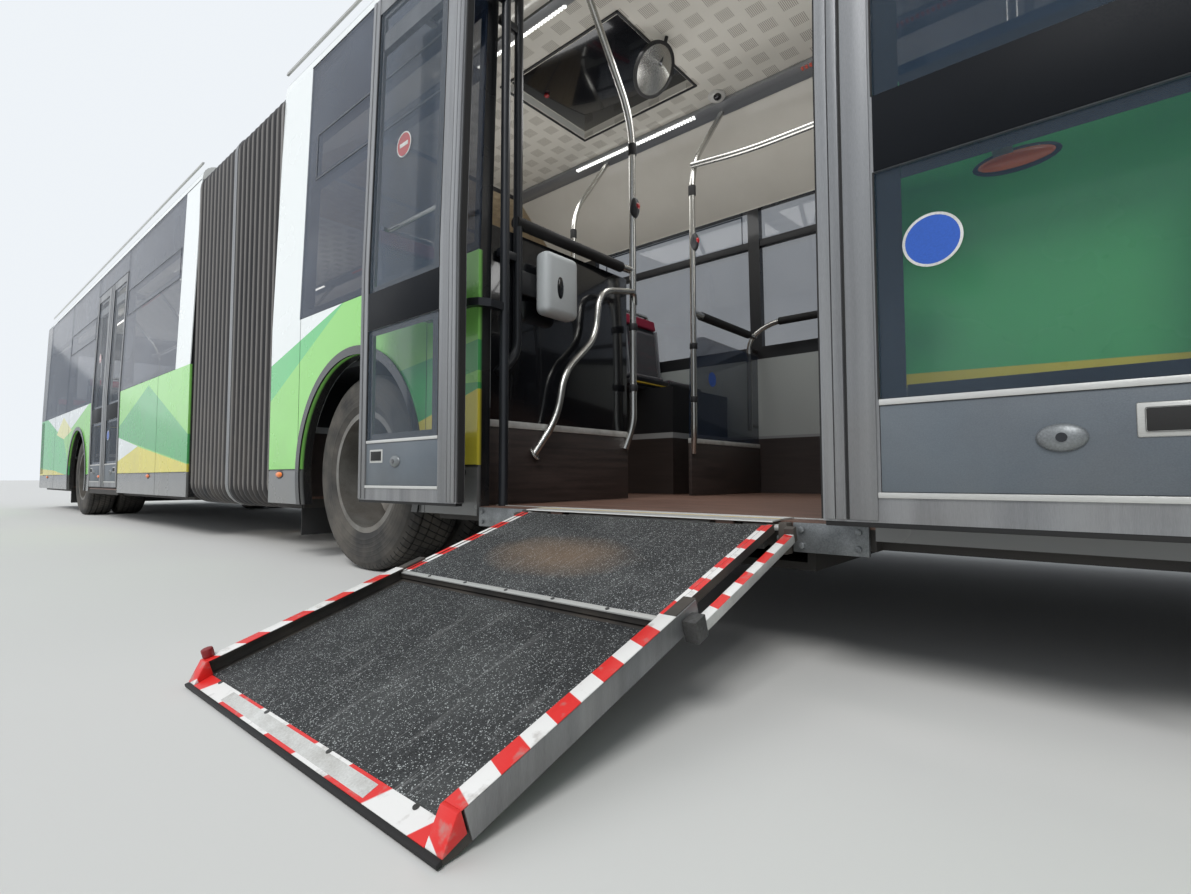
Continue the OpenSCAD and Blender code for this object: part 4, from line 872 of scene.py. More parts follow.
class Piece:
    """One named piece of the bus, gathered from shapes that are modelled one by one."""

    def __init__(self, name: str, body: str, slot: str, place: Matrix | None = None) -> None:
        """Starts a piece.

        Args:
            name: The piece's name.
            body: The CAD body that it rides on.
            slot: The record's material slot; not used.
            place: Where the piece's own frame lies, in bus metres.
        """
        self.name, self.body, self.slot = name, body, slot
        self.place = place or Matrix.Identity(4)
        self.shapes: list[Shape] = []

    def keep(self, finish: Finish) -> Shape:
        """Gives the shape just modelled its finish and keeps it."""
        shape = bpy.context.object
        shape.data.materials.clear()
        shape.data.materials.append(finish.material)
        self.shapes.append(shape)
        return shape

    @staticmethod
    def edit(*steps: Callable[[], object]) -> None:
        """Runs steps in edit mode with everything selected at first."""
        bpy.ops.object.mode_set(mode="EDIT")
        bpy.ops.mesh.select_all(action="SELECT")
        for step in steps:
            step()
        bpy.ops.object.mode_set(mode="OBJECT")

    @staticmethod
    def round_edges(edge: float, segments: int = 2, sharp: float = 0.6) -> Callable[[], object]:
        """A step that rounds the sharp edges of the shape in edit mode."""
        def step() -> object:
            bpy.ops.mesh.select_all(action="DESELECT")
            bpy.ops.mesh.select_mode(type="EDGE")
            bpy.ops.mesh.edges_select_sharp(sharpness=sharp)
            return bpy.ops.mesh.bevel(offset=edge, segments=segments, affect="EDGES")
        return step

    def block(self, finish: Finish, low: Point, high: Point, edge: float = 0.003,
              segments: int = 2) -> Shape:
        """A block between two corners, with rounded edges."""
        deselect()
        middle = [(a + b) / 2 for a, b in zip(low, high)]
        size = [b - a for a, b in zip(low, high)]
        bpy.ops.mesh.primitive_cube_add(size=1, location=middle, scale=size)
        apply_place()
        if edge:
            self.edit(lambda: bpy.ops.mesh.bevel(offset=edge, segments=segments, affect="EDGES"))
        return self.keep(finish)

    def rod(self, finish: Finish, start: Point, end: Point, radius: float, sides: int = 20,
            edge: float = 0.0, tip: float | None = None) -> Shape:
        """A round bar between two points, or a cone if its tip has a radius of its own."""
        deselect()
        a, b = Vector(start), Vector(end)
        turn = (b - a).to_track_quat("Z", "Y").to_euler()
        far = radius if tip is None else tip
        bpy.ops.mesh.primitive_cone_add(vertices=sides, radius1=radius, radius2=far, depth=(b - a).length,
                                        location=(a + b) / 2, rotation=turn)
        apply_place()
        if edge:
            self.edit(self.round_edges(edge))
        return self.keep(finish)

    def dome(self, finish: Finish, middle: Point, size: Point, segments: int = 24,
             rings: int = 12) -> Shape:
        """An egg shape with half sizes along the axes."""
        deselect()
        bpy.ops.mesh.primitive_uv_sphere_add(segments=segments, ring_count=rings, radius=1,
                                             location=middle, scale=size)
        apply_place()
        return self.keep(finish)

    def plate(self, finish: Finish, outline: Sequence[Point], axis: int, start: float, end: float,
              edge: float = 0.0, segments: int = 2) -> Shape:
        """A plate with a drawn outline, extruded along one axis.

        Args:
            finish: Its finish.
            outline: Corners as pairs, in the order of the two other axes.
            axis: The axis of the extrusion, 0 to 2.
            start: Where it begins on that axis.
            end: Where it ends.
            edge: Radius of its rounded edges.
            segments: Faces across a rounded edge.
        Returns:
            The shape.
        """
        deselect()
        bpy.ops.mesh.primitive_circle_add(vertices=len(outline), radius=1, fill_type="NGON")
        shape = bpy.context.object
        others = [i for i in range(3) if i != axis]
        for vertex, pair in zip(shape.data.vertices, outline):
            co = [0.0, 0.0, 0.0]
            co[axis], co[others[0]], co[others[1]] = start, pair[0], pair[1]
            vertex.co = co
        reach = [0.0, 0.0, 0.0]
        reach[axis] = end - start
        steps = [
            lambda: bpy.ops.mesh.extrude_region_move(TRANSFORM_OT_translate={"value": reach}),
            lambda: bpy.ops.mesh.select_all(action="SELECT"),
            lambda: bpy.ops.mesh.normals_make_consistent(inside=False),
        ]
        if edge:
            steps.append(self.round_edges(edge, segments))
        self.edit(*steps)
        return self.keep(finish)

    def lathe(self, finish: Finish, profile: Sequence[Point], middle: Point, axis: int,
              steps: int = 48) -> Shape:
        """Turns a closed profile of (radius, distance along) pairs about an axis."""
        deselect()
        bpy.ops.mesh.primitive_circle_add(vertices=len(profile), radius=1, fill_type="NOTHING")
        shape = bpy.context.object
        across = (axis + 1) % 3
        for vertex, (radius, along) in zip(shape.data.vertices, profile):
            co = list(middle)
            co[axis] += along
            co[across] += radius
            vertex.co = co
        about = [1.0 if i == axis else 0.0 for i in range(3)]
        self.edit(
            lambda: bpy.ops.mesh.spin(steps=steps, angle=2 * math.pi, center=tuple(middle), axis=about),
            lambda: bpy.ops.mesh.select_all(action="SELECT"),
            lambda: bpy.ops.mesh.remove_doubles(threshold=0.00001),
            lambda: bpy.ops.mesh.normals_make_consistent(inside=False),
        )
        return self.keep(finish)

    def ring(self, finish: Finish, inner: float, outer: float, depth: float, middle: Point, axis: int,
             steps: int = 36) -> Shape:
        """A flat ring, or a disc if its inner radius is zero."""
        profile = ((inner, 0.0), (outer, 0.0), (outer, depth), (inner, depth))
        return self.lathe(finish, profile, middle, axis, steps)

    def loft(self, finish: Finish, rows: Sequence[Sequence[Point]], closed: bool = True,
             caps: bool = True, flip: bool = False) -> Shape:
        """A skin through rows of points.

        Args:
            finish: Its finish.
            rows: Rows of equally many points.
            closed: Whether each row closes on itself.
            caps: Whether the open ends get filled.
            flip: Whether the faces are turned round at the end.
        Returns:
            The shape.
        """
        deselect()
        rings = [[*row, row[0]] if closed else list(row) for row in rows]
        wide, deep = len(rings[0]), len(rings)
        bpy.ops.mesh.primitive_grid_add(x_subdivisions=wide - 1, y_subdivisions=deep - 1, size=1)
        shape = bpy.context.object
        flat = [p for row in rings for p in row]
        for vertex, p in zip(shape.data.vertices, flat):
            vertex.co = p
        steps = [lambda: bpy.ops.mesh.remove_doubles(threshold=0.00001)]
        if caps:
            steps.append(lambda: bpy.ops.mesh.fill_holes(sides=0))
            steps.append(lambda: bpy.ops.mesh.select_all(action="SELECT"))
        steps.append(lambda: bpy.ops.mesh.normals_make_consistent(inside=flip))
        self.edit(*steps)
        return self.keep(finish)

    def tube(self, finish: Finish, points: Sequence[Point], radius: float, bend: float = 0.06,
             sides: int = 3) -> Shape:
        """A bent tube along a route with rounded corners."""
        deselect()
        curve = bpy.data.curves.new(self.name + "_route", "CURVE")
        curve.dimensions = "3D"
        curve.bevel_depth = radius
        curve.bevel_resolution = sides
        curve.use_fill_caps = True
        route = rounded_route(points, bend)
        spline = curve.splines.new("POLY")
        spline.points.add(len(route) - 1)
        for target, p in zip(spline.points, route):
            target.co = (*p, 1.0)
        shape = link(bpy.data.objects.new(self.name + "_route", curve))
        bpy.context.view_layer.objects.active = shape
        shape.select_set(True)
        bpy.ops.object.convert(target="MESH")
        return self.keep(finish)

    def copies(self, shapes: Sequence[Shape], places: Sequence[Matrix]) -> None:
        """Adds copies of shapes, each with its own mesh, at other places."""
        for place in places:
            for shape in shapes:
                made = shape.copy()
                made.data = shape.data.copy()
                made.data.transform(place)
                if place.determinant() < 0:
                    made.data.flip_normals()
                self.shapes.append(link(made))

    def moved(self, shapes: Sequence[Shape], place: Matrix) -> None:
        """Moves shapes that are kept already."""
        for shape in shapes:
            shape.data.transform(place)
            if place.determinant() < 0:
                shape.data.flip_normals()

    def repeat(self, places: Sequence[Matrix]) -> None:
        """Sets all the shapes so far at each of some places."""
        shapes = list(self.shapes)
        self.copies(shapes, places[1:])
        self.moved(shapes, places[0])

    def done(self, *replaced: str, smooth: float = 35.0) -> Shape:
        """Joins the shapes, sets the piece in the frame and lets it ride.

        Args:
            replaced: CAD nodes that the piece stands for.
            smooth: Angle in degrees below which edges are shaded smooth.
        Returns:
            The finished piece.
        """
        made = fuse(self.shapes)
        made.name = made.data.name = self.name
        place = Matrix.Translation(ORIGIN) @ self.place
        made.data.transform(place)
        if place.determinant() < 0:
            made.data.flip_normals()
        bpy.ops.object.shade_smooth_by_angle(angle=math.radians(smooth))
        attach(made, self.body)
        if replaced:
            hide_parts(*replaced)
        log.info("%s: %d faces", self.name, len(made.data.polygons))
        return made


@dataclass
class CarriedNodes:
    """The CAD nodes that show as they are, with their finishes."""

    def dress(self) -> None:
        """Gives each node its material."""
        for name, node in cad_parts.items():
            finish, slot = finish_of(name)
            node.data.materials.clear()
            node.data.materials.append(finish.material)


@dataclass
class Articulation:
    """The bellows in two halves, from each section's end to the hoop."""

    folds: int = 9
    half_w: float = 1.245
    low: float = 0.262
    high: float = 2.85
    corner: float = 0.15
    fold: float = 0.045
    skin: float = 0.016
    foot: float = 0.88
    hoop: float = 0.05
    end: float = 0.03
    gap: float = 0.0003

    def ring(self, inset: float) -> list[tuple[float, float]]:
        """Half open outline from foot to foot, as pairs of Y and Z.

        Args:
            inset: Distance inside the outermost outline.
        Returns:
            The outline's points.
        """
        w, low, high = self.half_w - inset, self.low + inset, self.high - inset
        r = max(0.03, self.corner - inset / 2)
        points: list[tuple[float, float]] = [(self.foot, low)]
        for cy, cz, first in ((w - r, low + r, -90), (w - r, high - r, 0), (-w + r, high - r, 90),
                              (-w + r, low + r, 180)):
            if first == 0:
                points.extend((w, low + r + (high - low - 2 * r) * k / 6) for k in range(1, 6))
            if first == 90:
                points.extend((w - r - (2 * w - 2 * r) * k / 6, high) for k in range(1, 6))
            if first == 180:
                points.extend((-w, high - r - (high - low - 2 * r) * k / 6) for k in range(1, 6))
            for a in range(0, 91, 15):
                t = math.radians(first + a)
                points.append((cy + r * math.cos(t), cz + r * math.sin(t)))
        return [*points, (-self.foot, low)]

    def outer(self) -> list[tuple[float, float]]:
        """One half's outer fold line: distance from the section's end, and depth below the ridges."""
        length = (BODY.section_rear - BODY.trailer_front) / 2 - self.hoop / 2 - 2 * self.gap
        pitch = (length - self.end) / self.folds
        line = [(0.0, 0.0), (self.end, 0.0)]
        shape = ((0.1, 0.3), (0.26, 0.86), (0.4, 1.0), (0.54, 0.86), (0.68, 0.3), (0.74, 0.04),
                 (0.84, -0.02), (0.96, 0.04))
        for i in range(self.folds):
            line.extend((self.end + (i + x) * pitch, d * self.fold) for x, d in shape)
        return [*line, (length, 0.004)]

    def half(self, piece: Piece, sign: float) -> None:
        """Adds one half's outer and inner skins.

        Args:
            piece: The piece that takes them.
            sign: 1 for the front half and -1 for the rear one.
        """
        reach = (BODY.section_rear - BODY.trailer_front) / 2 - self.gap
        line = self.outer()

        def rows(shift: float, squeeze: float) -> list[list[tuple[float, float, float]]]:
            made = []
            for x, depth in line:
                at = BODY.pivot + sign * (reach - x)
                made.append([(at, y, z) for y, z in self.ring(shift + depth * squeeze)])
            return made

        outer, inner = rows(0.0, 1.0), rows(self.fold + self.skin - 0.004, -0.12)
        piece.loft(BELLOWS_DARK, [*outer], closed=False, caps=False)
        outer_shape = piece.shapes.pop()
        piece.loft(BELLOWS_CREAM, [*inner], closed=False, caps=False)
        inner_shape = piece.shapes.pop()
        self.face(outer_shape, True)
        self.face(inner_shape, False)
        rims = [[row[k] for row in outer] for k in (0, -1)]
        inner_rims = [[row[k] for row in inner] for k in (0, -1)]
        for first, second in zip(rims, inner_rims):
            piece.loft(BELLOWS_DARK, [first, second], closed=False, caps=False)
        for k in (0, -1):
            piece.loft(BELLOWS_DARK, [outer[k], inner[k]], closed=False, caps=False)
        piece.shapes.extend((outer_shape, inner_shape))

    def face(self, shape: Shape, outward: bool) -> None:
        """Turns a skin's faces away from the middle of the bus, or towards it."""
        mesh = shape.data
        middle = Vector((BODY.pivot, 0.0, (self.low + self.high) / 2))
        side = max(mesh.polygons, key=lambda p: abs(p.center.y) * p.area)
        if (side.normal.dot(side.center - middle) > 0) != outward:
            mesh.flip_normals()

    def build(self) -> None:
        """Makes both halves."""
        halves = (("bellows_front", 1.0, "front_section"), ("bellows_rear", -1.0, "rear_section"))
        for name, sign, section in halves:
            piece = Piece(name, section, "bellows_fabric")
            self.half(piece, sign)
            made = fuse(piece.shapes)
            made.name = made.data.name = name
            made.data.transform(Matrix.Translation(ORIGIN))
            Piece.edit(lambda: bpy.ops.mesh.remove_doubles(threshold=0.00002))
            bpy.ops.object.shade_smooth_by_angle(angle=math.radians(50))
            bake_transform(made)
            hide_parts("bellows")
            log.info("%s: %d faces", name, len(made.data.polygons))


def skin(z0: float, z1: float, low: float, high: float) -> list[Point]:
    """An outline of Y and Z between two heights that follows the left side's lean.

    Args:
        z0: Lower height.
        z1: Upper height.
        low: Inner depth, counted outward from the face.
        high: Outer depth.
    Returns:
        The outline's corners.
    """
    heights = [z0, *([BODY.belt] if z0 < BODY.belt < z1 else []), z1]
    inner, outer = ([(BODY.face(z) + depth, z) for z in heights] for depth in (low, high))
    return [*inner, *reversed(outer)]


def span(sign: float, low: float, high: float) -> tuple[float, float]:
    """Two limits on one side of zero, in rising order."""
    return tuple(sorted((sign * low, sign * high)))


def sided(sign: float, outline: Sequence[Point]) -> list[Point]:
    """An outline of Y and Z on the left side, or its mirror image on the right for a sign of -1."""
    return [(sign * y, z) for y, z in outline]


@dataclass
class Ramp:
    """The wheelchair ramp's coating, rails, tapes and nose, and the sill that it hangs from."""

    hinge: Point = (1.705, -1.29, 0.325)
    angle: float = 17.399

    @property
    def place(self) -> Matrix:
        """The ramp's own frame: X along the bus, -Y away from it and Z out of the plates."""
        return Matrix.Translation(self.hinge) @ Matrix.Rotation(math.radians(self.angle), 4, "X")

    @staticmethod
    def slab(piece: Piece, finish: Finish, *limits: float, edge: float = 0.0006) -> None:
        """A slab between limits along the bus, away from the hinge, and in thickness."""
        x0, x1, away0, away1, low, high = limits
        piece.block(finish, (x0, -away1, low), (x1, -away0, high), edge)

    def flanks(self, piece: Piece,
               table: Sequence[tuple[Finish, float, float, float, float, float, float]]) -> None:
        """Slabs that lie on both sides of the ramp."""
        for finish, inner, outer, *rest in table:
            for sign in (1, -1):
                self.slab(piece, finish, *span(sign, inner, outer), *rest)

    def upper(self) -> None:
        """Coats the hinged plate and adds its edge tapes, guide rails and hinge rods."""
        piece = Piece("ramp_upper_fittings", "ramp_upper", "ramp_coating", self.place)
        tape = WarningTape("ramp_tape", self.place)
        self.slab(piece, GritCoat("ramp_grit", self.place), -0.421, 0.421, 0.03, 0.494, 0.0138, 0.0154)
        self.slab(piece, ALUMINIUM_BAR, -0.424, 0.424, 0.495, 0.509, 0.013, 0.017)
        self.slab(piece, CAST_METAL, -0.42, 0.42, 0.032, 0.056, -0.034, -0.02)
        self.flanks(piece, (
            (tape, 0.41, 0.4242, 0.03, 0.494, 0.014, 0.0158),
            (tape, 0.4244, 0.439, 0.03, 0.5, 0.017, 0.0182),
            (ALUMINIUM_BAR, 0.464, 0.487, 0.028, 0.468, -0.024, -0.0045),
            (tape, 0.4645, 0.4865, 0.03, 0.466, -0.005, -0.0036),
            (CAST_METAL, 0.462, 0.49, 0.455, 0.49, -0.03, 0.012),
            (BLACK_STEEL, 0.464, 0.487, 0.012, 0.03, -0.024, 0.01),
        ))
        for start, end in ((-0.462, -0.33), (-0.27, 0.27), (0.33, 0.462)):
            piece.rod(ALUMINIUM_BAR, (start, 0, 0), (end, 0, 0), 0.008, 16, 0.001)
        for x in (-0.3, -0.15, 0.0, 0.15, 0.3):
            piece.rod(CAST_METAL, (x, -0.502, 0.0166), (x, -0.502, 0.0182), 0.0045, 12)
        piece.done()

    def lower(self) -> None:
        """Coats the sliding plate and adds its kerbs, end slopes, nose and label."""
        piece = Piece("ramp_lower_fittings", "ramp_lower", "ramp_coating", self.place)
        tape = WarningTape("ramp_tape", self.place)
        band = WarningTape("ramp_band", self.place, pitch=0.22, slant=0.6, across=True)
        self.slab(piece, GritCoat("ramp_grit", self.place), -0.4235, 0.4235, 0.514, 0.986, -0.0074, -0.0058)
        self.flanks(piece, (
            (tape, 0.4245, 0.459, 0.5, 0.984, 0.024, 0.0256),
            (ALUMINIUM, 0.4562, 0.4592, 0.43, 0.98, -0.02, 0.0235),
        ))
        slope = ((-0.984, -0.0065), (-0.984, 0.0256), (-0.99, 0.0256), (-1.022, -0.0078), (-1.022, -0.0095))
        for sign in (1, -1):
            piece.plate(tape, slope, 0, *span(sign, 0.4245, 0.459), 0.0008)
        piece.plate(band, ((-0.9865, -0.0075), (-0.9865, -0.0057), (-1.0225, -0.0083), (-1.0225, -0.01)), 0,
                    -0.4235, 0.4235)
        piece.plate(LABEL_WHITE, ((-0.992, -0.0065), (-0.992, -0.0057), (-1.0165, -0.0074),
            (-1.0165, -0.009)), 0, -0.28, 0.27)
        self.slab(piece, RUBBER_TRIM, -0.459, 0.459, 1.022, 1.0312, -0.017, -0.0085, edge=0.002)
        piece.rod(RED_CAP, (-0.452, -0.975, 0.0256), (-0.452, -0.975, 0.045), 0.012, 20, 0.003)
        for x in (-0.36, -0.12, 0.12, 0.36):
            piece.rod(CAST_METAL, (x, -0.99, -0.0066), (x, -0.99, -0.0046), 0.005, 12)
        piece.done()

    def sill(self) -> None:
        """Adds the threshold plate, its yellow line, the face plates and the hinge brackets."""
        piece = Piece("ramp_sill", "front_section", "door_aluminium")
        outline = ((-1.185, 0.3405), (-1.185, 0.344), (-1.262, 0.344), (-1.3115, 0.3415), (-1.3125, 0.3385),
                   (-1.262, 0.3405))
        piece.plate(ALUMINIUM_BAR, outline, 0, 1.272, 2.138)
        for k in range(14):
            y = -1.192 - 0.0042 * k
            piece.block(ALUMINIUM_BAR, (1.275, y - 0.0012, 0.3438), (2.135, y, 0.345), 0.0004, 1)
        piece.block(YELLOW_MARK, (1.275, -1.261, 0.3436), (2.135, -1.253, 0.3446), 0)
        piece.block(ALUMINIUM_BAR, (0.965, -1.185, 0.34), (2.355, -1.166, 0.3428), 0.001)
        for x0, x1 in ((0.972, 1.233), (2.172, 2.346)):
            piece.block(GALVANISED, (x0, -1.2745, 0.268), (x1, -1.2632, 0.338), 0.002)
            for x in (x0 + 0.022, x1 - 0.022):
                for z in (0.284, 0.322):
                    piece.rod(GALVANISED, (x, -1.274, z), (x, -1.281, z), 0.008, 6, 0.001)
        for x0, x1 in ((1.236, 1.262), (2.146, 2.168)):
            piece.block(BLACK_STEEL, (x0, -1.3, 0.262), (x1, -1.2635, 0.338), 0.003)
            piece.rod(GALVANISED, (x0 - 0.006, -1.288, 0.3), (x1 + 0.006, -1.288, 0.3), 0.007, 14, 0.001)
        piece.done()

    def build(self) -> None:
        """Makes the ramp's three pieces."""
        self.upper()
        self.lower()
        self.sill()


@dataclass
class DoorLeaves:
    """Fluted stiles, panels, seals, locks and prints of the six door leaves.

    A leaf is drawn as the rear leaf of an opening in the left side, with X along the leaf from its post.
    """

    width: float = 1.4
    swing_x: float = 0.630988
    swing_y: float = 0.139887
    stile: Point = (0.36, 2.554)

    def place(self, door: float, front: bool, opened: bool) -> Matrix:
        """Where a leaf's own frame lies.

        Args:
            door: The opening's rear edge.
            front: Whether it is the front leaf.
            opened: Whether the leaf stands open.
        Returns:
            The place in bus metres.
        """
        swing = Matrix.Translation((-self.swing_x, self.swing_y, 0)) if opened else Matrix.Identity(4)
        hand = Matrix.Translation((self.width, 0, 0)) @ Matrix.Diagonal((-1, -1, 1, 1))
        rear_hand = Matrix.Diagonal((1, -1, 1, 1))
        return Matrix.Translation((door, 0, 0)) @ (hand if front else rear_hand) @ swing

    @staticmethod
    def strip(piece: Piece, finish: Finish, along: Point, up: Point, out: Point, edge: float = 0.0) -> None:
        """A strip of the leaf's skin: limits along the leaf, in height, and in depth from its face."""
        piece.plate(finish, skin(*up, *out), 0, *along, edge)

    def leaf(self, number: int, door: float, front: bool) -> None:
        """Trims one leaf."""
        side = "front" if front else "rear"
        name = f"door_{number}_{side}"
        piece = Piece(f"{name}_trim", f"{name}_leaf", "door_aluminium",
            self.place(door, front, number == 2))
        flutes = (((0.585, 0.64), 0.003), ((0.646, 0.666), 0.006), ((0.668, 0.688), 0.006),
                  ((0.014, 0.034), 0.005), ((0.037, 0.066), 0.003))
        for along, out in flutes:
            self.strip(piece, ALUMINIUM, along, self.stile, (-0.001, out), 0.0015)
        self.strip(piece, RUBBER_TRIM, (0.6405, 0.6455), self.stile, (-0.001, 0.001))
        self.strip(piece, RUBBER_TRIM, (0.692, 0.6992), self.stile, (-0.03, -0.004))
        self.strip(piece, ALUMINIUM_BAR, (0.07, 0.579), (0.589, 0.601), (-0.006, 0.002), 0.001)
        self.strip(piece, PANEL_GREY, (0.071, 0.578), (0.417, 0.588), (-0.0048, -0.001), 0.001)
        self.strip(piece, ALUMINIUM_BAR, (0.067, 0.584), (0.405, 0.416), (-0.002, 0.004), 0.001)
        self.strip(piece, RUBBER_TRIM, (0.014, 0.69), (0.346, 0.372), (-0.03, -0.001), 0.002)
        self.strip(piece, FRIT, (0.071, 0.578), (1.066, 1.224), (-0.001, 0.0022), 0.0008)
        border = (-0.009, -0.0084)
        for up in ((0.601, 1.065), (1.225, 2.478)):
            for along in ((0.0705, 0.095), (0.53, 0.5785)):
                self.strip(piece, GLOSS_BLACK, along, up, border)
            for z in (up[0], up[1] - 0.026):
                self.strip(piece, GLOSS_BLACK, (0.096, 0.529), (z + 0.0005, z + 0.0255), border)
            for along in ((0.068, 0.0712), (0.5778, 0.581)):
                self.strip(piece, RUBBER_TRIM, along, up, (-0.003, 0.0012))
        y = BODY.half_w
        piece.dome(GALVANISED, (0.294, y - 0.001, 0.512), (0.036, 0.012, 0.024))
        piece.rod(GLOSS_BLACK, (0.294, y + 0.008, 0.512), (0.294, y + 0.0125, 0.512), 0.008, 20)
        piece.block(ALUMINIUM_BAR, (0.1, y - 0.003, 0.508), (0.2, y + 0.0005, 0.563), 0.003)
        piece.block(RUBBER_TRIM, (0.11, y - 0.001, 0.516), (0.19, y + 0.0012, 0.555), 0.003)
        x, z = (0.477, 0.9) if front else (0.3, 1.8)
        face = BODY.face(z)
        if not front:
            piece.block(LABEL_WHITE, (x - 0.03, face - 0.001, z - 0.008),
                (x + 0.03, face - 0.0004, z + 0.008), 0)
        middle = (x, face - 0.0016, z)
        piece.ring(SIGN_BLUE if front else RED_LENS, 0.0, 0.047, 0.0008, middle, 1)
        piece.ring(LABEL_WHITE, 0.047, 0.052, 0.0009, middle, 1)
        for z in (0.62, 1.52):
            inner = BODY.face(z) - 0.045
            piece.tube(STAINLESS, ((0.09, inner - 0.004, z), (0.09, inner - 0.03, z),
                (0.56, inner - 0.03, z), (0.56, inner - 0.004, z)), 0.01, 0.02)
        piece.done()

    def build(self) -> None:
        """Trims all six leaves."""
        for number, door in zip((1, 2, 3), BODY.doors):
            for front in (False, True):
                self.leaf(number, door, front)


@dataclass
class Saloon:
    """Grab rails, partitions, lamps and small fittings inside both sections."""

    pole_y: float = 0.29
    trim_y: float = 0.66
    trim_z: float = 2.78
    radius: float = 0.0175
    bar_x: float = 0.935
    lamp_long: float = 1.05
    lamp_pitch: float = 1.75
    lamp_bars: int = 44
    seam_pitch: float = 1.4

    def pole(self, piece: Piece, x: float, sign: float, foot: float) -> None:
        """A pole that bends out to the ceiling's edge, with a black sleeve and a stop button."""
        y = sign * self.pole_y
        bent = [(x - 0.028, y + sign * 0.035, foot + 0.02), (x, y, foot + 0.14)]
        low = bent if foot > 0.5 else [(x, y, foot)]
        route = (*low, (x, y, 2.28), (x, sign * self.trim_y, self.trim_z))
        piece.tube(STAINLESS, route, self.radius, 0.16, 4)
        piece.rod(RUBBER_TRIM, (x, y, 2.1), (x, y, 2.16), 0.022, 20, 0.003)
        piece.dome(BLACK_PLASTIC, (x + 0.014, y, 1.82), (0.026, 0.026, 0.055), 16, 10)
        piece.dome(RED_LENS, (x + 0.034, y, 1.825), (0.01, 0.015, 0.018), 12, 8)
        for z in (0.88, 1.19):
            piece.rod(BLACK_PLASTIC, (x, y, z), (x, y, z + 0.035), 0.0225, 20, 0.003)

    def rails(self, section: str, poles: Sequence[float], first: float, last: float, feet: float) -> None:
        """All poles and overhead rails of one section, in place of its plain ones.

        Args:
            section: "front" or "rear".
            poles: Distances of the poles from the middle axle.
            first: Rear end of the overhead rails.
            last: Their front end.
            feet: Height at which the poles stand.
        """
        piece = Piece(f"{section}_grab_rails", f"{section}_section", "stainless_steel")
        for x in poles:
            for sign in (1, -1):
                if x > 0.5 or section == "rear" or sign > 0:
                    self.pole(piece, x, sign, 0.57 if x == 0.95 else feet)
        for sign in (1, -1):
            start = first if sign > 0 or section == "rear" else 2.56
            corners = ((start, self.pole_y, 2.285), (start + 0.35, self.pole_y, 2.245),
                       (last - 0.3, self.pole_y, 2.245), (last, 0.5, 2.4), (last, 0.72, 2.62))
            piece.tube(STAINLESS, [(x, sign * y, z) for x, y, z in corners], self.radius, 0.2, 4)
        piece.done(f"{section}_rails")

    def partition(self) -> None:
        """The screens beside the middle door, with padded bars, curved rail, reader and far-wall rail."""
        piece = Piece("door_partition", "front_section", "black_plastic")
        x0, x1 = 0.903, 0.923
        bar = self.bar_x
        for y0, y1 in ((-1.195, -0.3), (0.3, 1.195)):
            piece.block(WOOD_PANEL, (x0, y0, 0.344), (x1, y1, 0.648), 0.002)
            piece.block(ALUMINIUM_BAR, (x0 - 0.002, y0, 0.648), (x1 + 0.003, y1, 0.676), 0.002)
        piece.block(GLOSS_BLACK, (x0 + 0.006, -1.195, 0.676), (x1 - 0.006, -0.3, 1.46), 0.002)
        glass = ((0.3, 0.676), (1.195, 0.676), (1.195, 1.29), (0.47, 1.3), (0.4, 1.285), (0.34, 1.23),
            (0.31, 1.15))
        piece.plate(TINTED_GLASS, glass, 0, x0 + 0.006, x1 - 0.006, 0.002)
        piece.ring(SIGN_BLUE, 0.0, 0.045, 0.001, (x1 - 0.006, 0.56, 1.05), 0)
        piece.tube(RUBBER_TRIM, ((bar, -1.07, 1.5), (bar, -0.37, 1.5)), 0.026, 0.01, 5)
        piece.tube(STAINLESS, ((bar, -0.38, 1.5), (bar + 0.01, -0.285, 1.5)), self.radius, 0.01, 4)
        piece.tube(RUBBER_TRIM, ((bar, 0.4, 1.41), (bar, 1.02, 1.41)), 0.026, 0.01, 5)
        piece.tube(STAINLESS, ((bar + 0.01, 0.285, 1.41), (bar, 1.12, 1.41)), self.radius, 0.01, 4)
        curve = ((-0.85, 0.705), (-0.81, 0.907), (-0.6, 1.093), (-0.568, 1.33), (-0.3, 1.384))
        route = ((x1, -0.948, 0.546), *((bar + 0.03, y, z) for y, z in curve), (bar + 0.02, -0.285, 1.321))
        piece.tube(STAINLESS, route, 0.0155, 0.09, 4)
        piece.rod(STAINLESS, (x1, -0.948, 0.546), (x1 + 0.006, -0.945, 0.55), 0.032, 24, 0.002)
        shaft = ((bar, -1.15, 0.86), (bar, -1.056, 0.95), (bar, -1.056, 2.62))
        piece.tube(DOOR_SHAFT, shaft, 0.019, 0.06, 5)
        for z in (1.33, 2.3):
            piece.block(DOOR_SHAFT, (bar - 0.012, -1.16, z), (bar + 0.012, -1.056, z + 0.035), 0.004)
        piece.tube(STAINLESS, ((0.9, 1.1, 0.765), (0.9, 1.1, 1.4), (1.06, 1.1, 1.488), (2.3, 1.1, 1.488)),
                   0.0175, 0.12, 4)
        piece.tube(RUBBER_TRIM, ((1.12, 1.1, 1.488), (2.28, 1.1, 1.488)), 0.025, 0.01, 5)
        for z in (0.8, 1.33):
            piece.tube(CAST_METAL, ((0.9, 1.1, z), (0.9, 1.2, z)), 0.015, 0.01)
        piece.block(SALOON_GREY, (0.95, -0.98, 1.125), (1.03, -0.78, 1.395), 0.03, 4)
        piece.dome(GLOSS_BLACK, (1.028, -0.9, 1.245), (0.007, 0.02, 0.05))
        piece.block(BLACK_PLASTIC, (0.936, -1.05, 1.2), (0.955, -0.86, 1.3), 0.006)
        piece.done()

